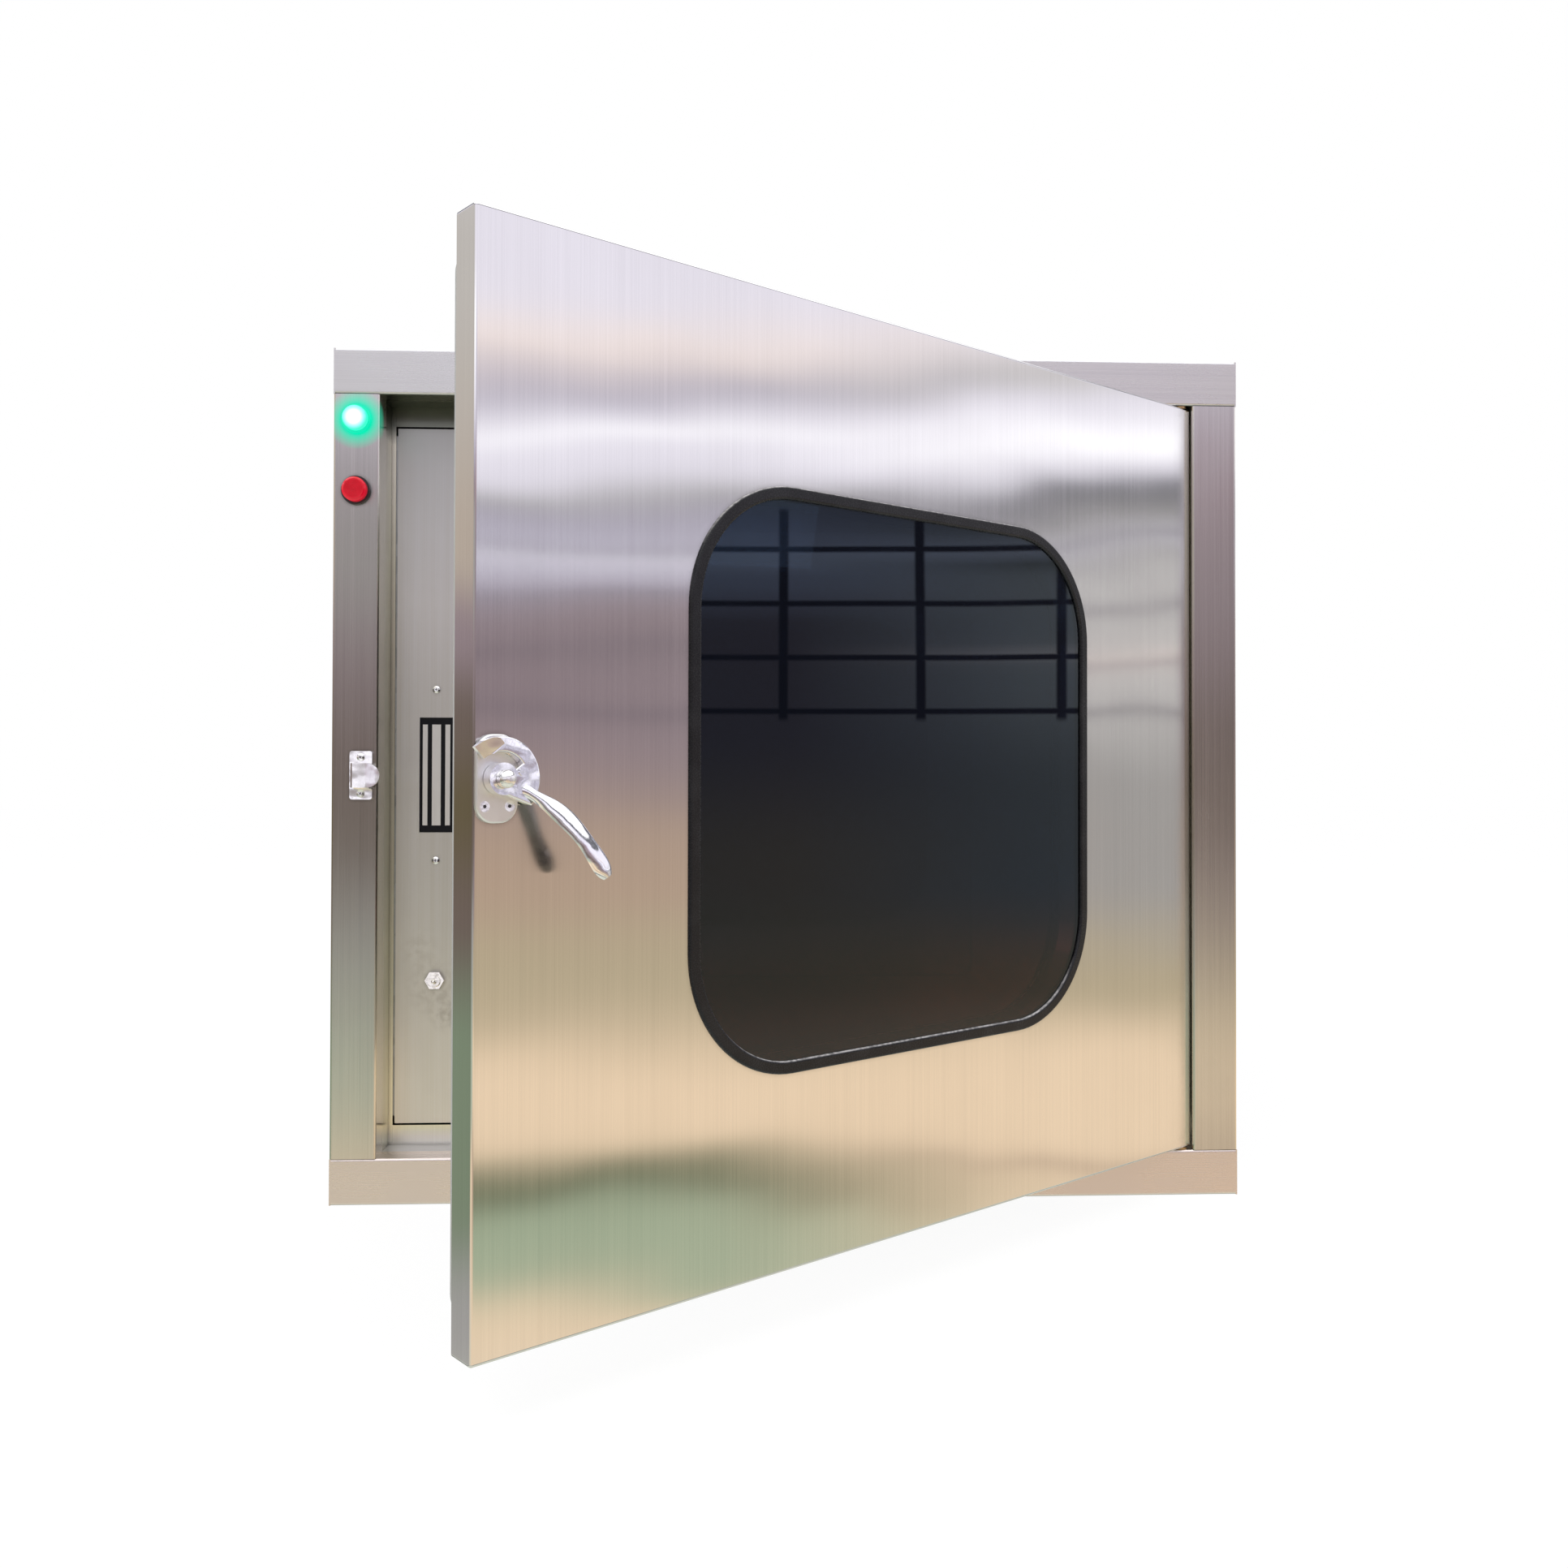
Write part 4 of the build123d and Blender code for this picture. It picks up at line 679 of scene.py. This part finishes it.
right_room = bands(
    (-0.362, FLOOR), (-0.345, MOSS), (-0.308, MOSS), (-0.296, DARK_MOSS), (-0.286, DARK_MOSS),
    (-0.264, FLOOR), (-0.225, FLOOR), (-0.150, OLIVE), (-0.080, CLAY), (0.030, DUSK), (0.095, DUSK),
    (0.135, LILAC), (0.145, PALE_WALL), (0.155, LILAC), (0.176, SLATE), (0.188, STEEL_GREY),
    (0.199, PALE_WALL), (0.226, PALE_WALL), (0.236, LAMPS), (0.244, PALE_WALL), (0.262, SLATE),
    (0.290, PEACH), (0.306, PALE_WALL))
right_rear_room = bands(
    (-0.282, FLOOR), (-0.272, CLAY), (-0.264, FLOOR), (-0.200, FLOOR), (-0.150, OLIVE),
    (-0.085, STEEL_GREY), (-0.020, STEEL_GREY), (0.068, PLASTER), (0.078, PEACH), (0.088, PLASTER),
    (0.130, PLASTER), (0.142, STEEL_GREY), (0.152, PALE_WALL), (0.160, STEEL_GREY), (0.186, TRUSS),
    (0.200, PALE_WALL), (0.216, LAMPS), (0.240, PALE_WALL), (0.265, PLASTER), (0.300, PALE_WALL))
left_room = bands(
    (-0.360, STEEL_GREY), (-0.300, DIM_MOSS), (-0.190, DIM_MOSS), (-0.110, UMBER),
    (-0.030, DARK_UMBER), (0.030, UMBER), (0.090, DUSK), (0.140, TAUPE), (0.340, PUTTY))
front_left_room = bands(
    (-0.270, FLOOR), (-0.240, GREEN_WALL), (-0.195, GREEN_WALL), (-0.120, STEEL_GREY),
    (-0.060, UMBER), (-0.010, UMBER), (0.080, DUSK), (0.120, STEEL_GREY), (0.170, STEEL_GREY),
    (0.200, DUSK), (0.225, SLATE), (0.240, LILAC), (0.255, PALE_WALL), (0.290, LAMPS),
    (0.330, PALE_WALL))
front_right_room = bands(
    (-0.380, FLOOR), (-0.270, CLAY), (-0.225, FLOOR), (-0.190, FLOOR), (-0.145, OLIVE),
    (-0.085, DUSK), (-0.040, UMBER), (0.020, UMBER), (0.090, DUSK), (0.150, DUSK),
    (0.205, MAUVE), (0.262, LILAC), (0.320, PALE_WALL))

front_side = sky.mix(sky.spread(to_right, 0.0, 0.25), front_left_room, front_right_room)
right_side = sky.mix(sky.spread(to_back, -0.19, -0.02), right_room, right_rear_room)
room = sky.mix(sky.spread(to_right, 0.45, 0.8), front_side, right_side)
room = sky.mix(sky.spread(to_right, -0.45, -0.8), room, left_room)

# Posts and beams of the wall on the right: the window shows them, brushed steel blurs them.
HALF_BAY, HALF_STOREY = 0.05, 0.019             # half their spacing, as a slope and as a sine
post = sky.math("PINGPONG", sky.math("DIVIDE", to_back, to_right), HALF_BAY)
beam = sky.math("PINGPONG", upward, HALF_STOREY)
bars = sky.math("MAXIMUM", sky.spread(post, 0.0045, 0.0025), sky.spread(beam, 0.0028, 0.0012))
wall = sky.math("MULTIPLY", sky.spread(upward, 0.030, 0.034), sky.spread(upward, 0.182, 0.178))
wall = sky.math("MULTIPLY", wall, sky.spread(to_right, 0.5, 0.6))
room = sky.mix(sky.math("MULTIPLY", bars, wall), room, IRON)

path = sky.add("LightPath").outputs
lit = sky.mix(path["Is Glossy Ray"], MATT_LIGHT, room)
lit = sky.mix(path["Is Camera Ray"], lit, (1, 1, 1))
background = sky.add("Background")
sky.put(background.inputs["Color"], lit)
sky.put(sky.add("OutputWorld").inputs["Surface"], background.outputs[0])


# ---- Lamps and camera -----------------------------------------------------------------------

AIM = Vector((0, -0.4, 0.4))


def softbox(name, place, size, power, colour):
    """Large soft lamp aimed at the part, which metal and glass don't mirror."""
    data = bpy.data.lights.new(name, "AREA")
    data.shape, data.size, data.size_y = "RECTANGLE", *size
    data.energy, data.color = power, colour
    lamp = bpy.data.objects.new(name, data)
    lamp.location = place
    lamp.rotation_euler = (AIM - Vector(place)).to_track_quat("-Z", "Y").to_euler()
    lamp.visible_glossy = False
    bpy.context.scene.collection.objects.link(lamp)


softbox("key", (-1.6, -3.0, 3.4), size=(2.4, 1.6), power=55, colour=(1, 0.99, 0.97))
softbox("fill", (3.4, -2.2, 2.2), size=(2.2, 2.2), power=22, colour=(0.95, 0.97, 1))

camera_data = bpy.data.cameras.new("camera")
camera_data.lens = 32.083
camera_data.sensor_width = 36
camera_data.sensor_fit = "HORIZONTAL"
camera_data.shift_y = -0.02345
camera_data.clip_start = 0.05
camera = bpy.data.objects.new("camera", camera_data)
CAMERA_PLACE = (-0.0742, -1.7566, 0.4367)
yaw, pitch, roll = radians(-2.739), radians(0.703), radians(0.125)
forward = Vector((-sin(yaw) * cos(pitch), cos(yaw) * cos(pitch), sin(pitch)))
level_right = Vector((cos(yaw), sin(yaw), 0))
right = level_right * cos(roll) + level_right.cross(forward) * sin(roll)
up = right.cross(forward)
camera.matrix_world = (Matrix.Translation(CAMERA_PLACE)
                       @ Matrix((right, up, -forward)).transposed().to_4x4())
bpy.context.scene.collection.objects.link(camera)
bpy.context.scene.camera = camera
bpy.context.scene.view_settings.view_transform = "Standard"
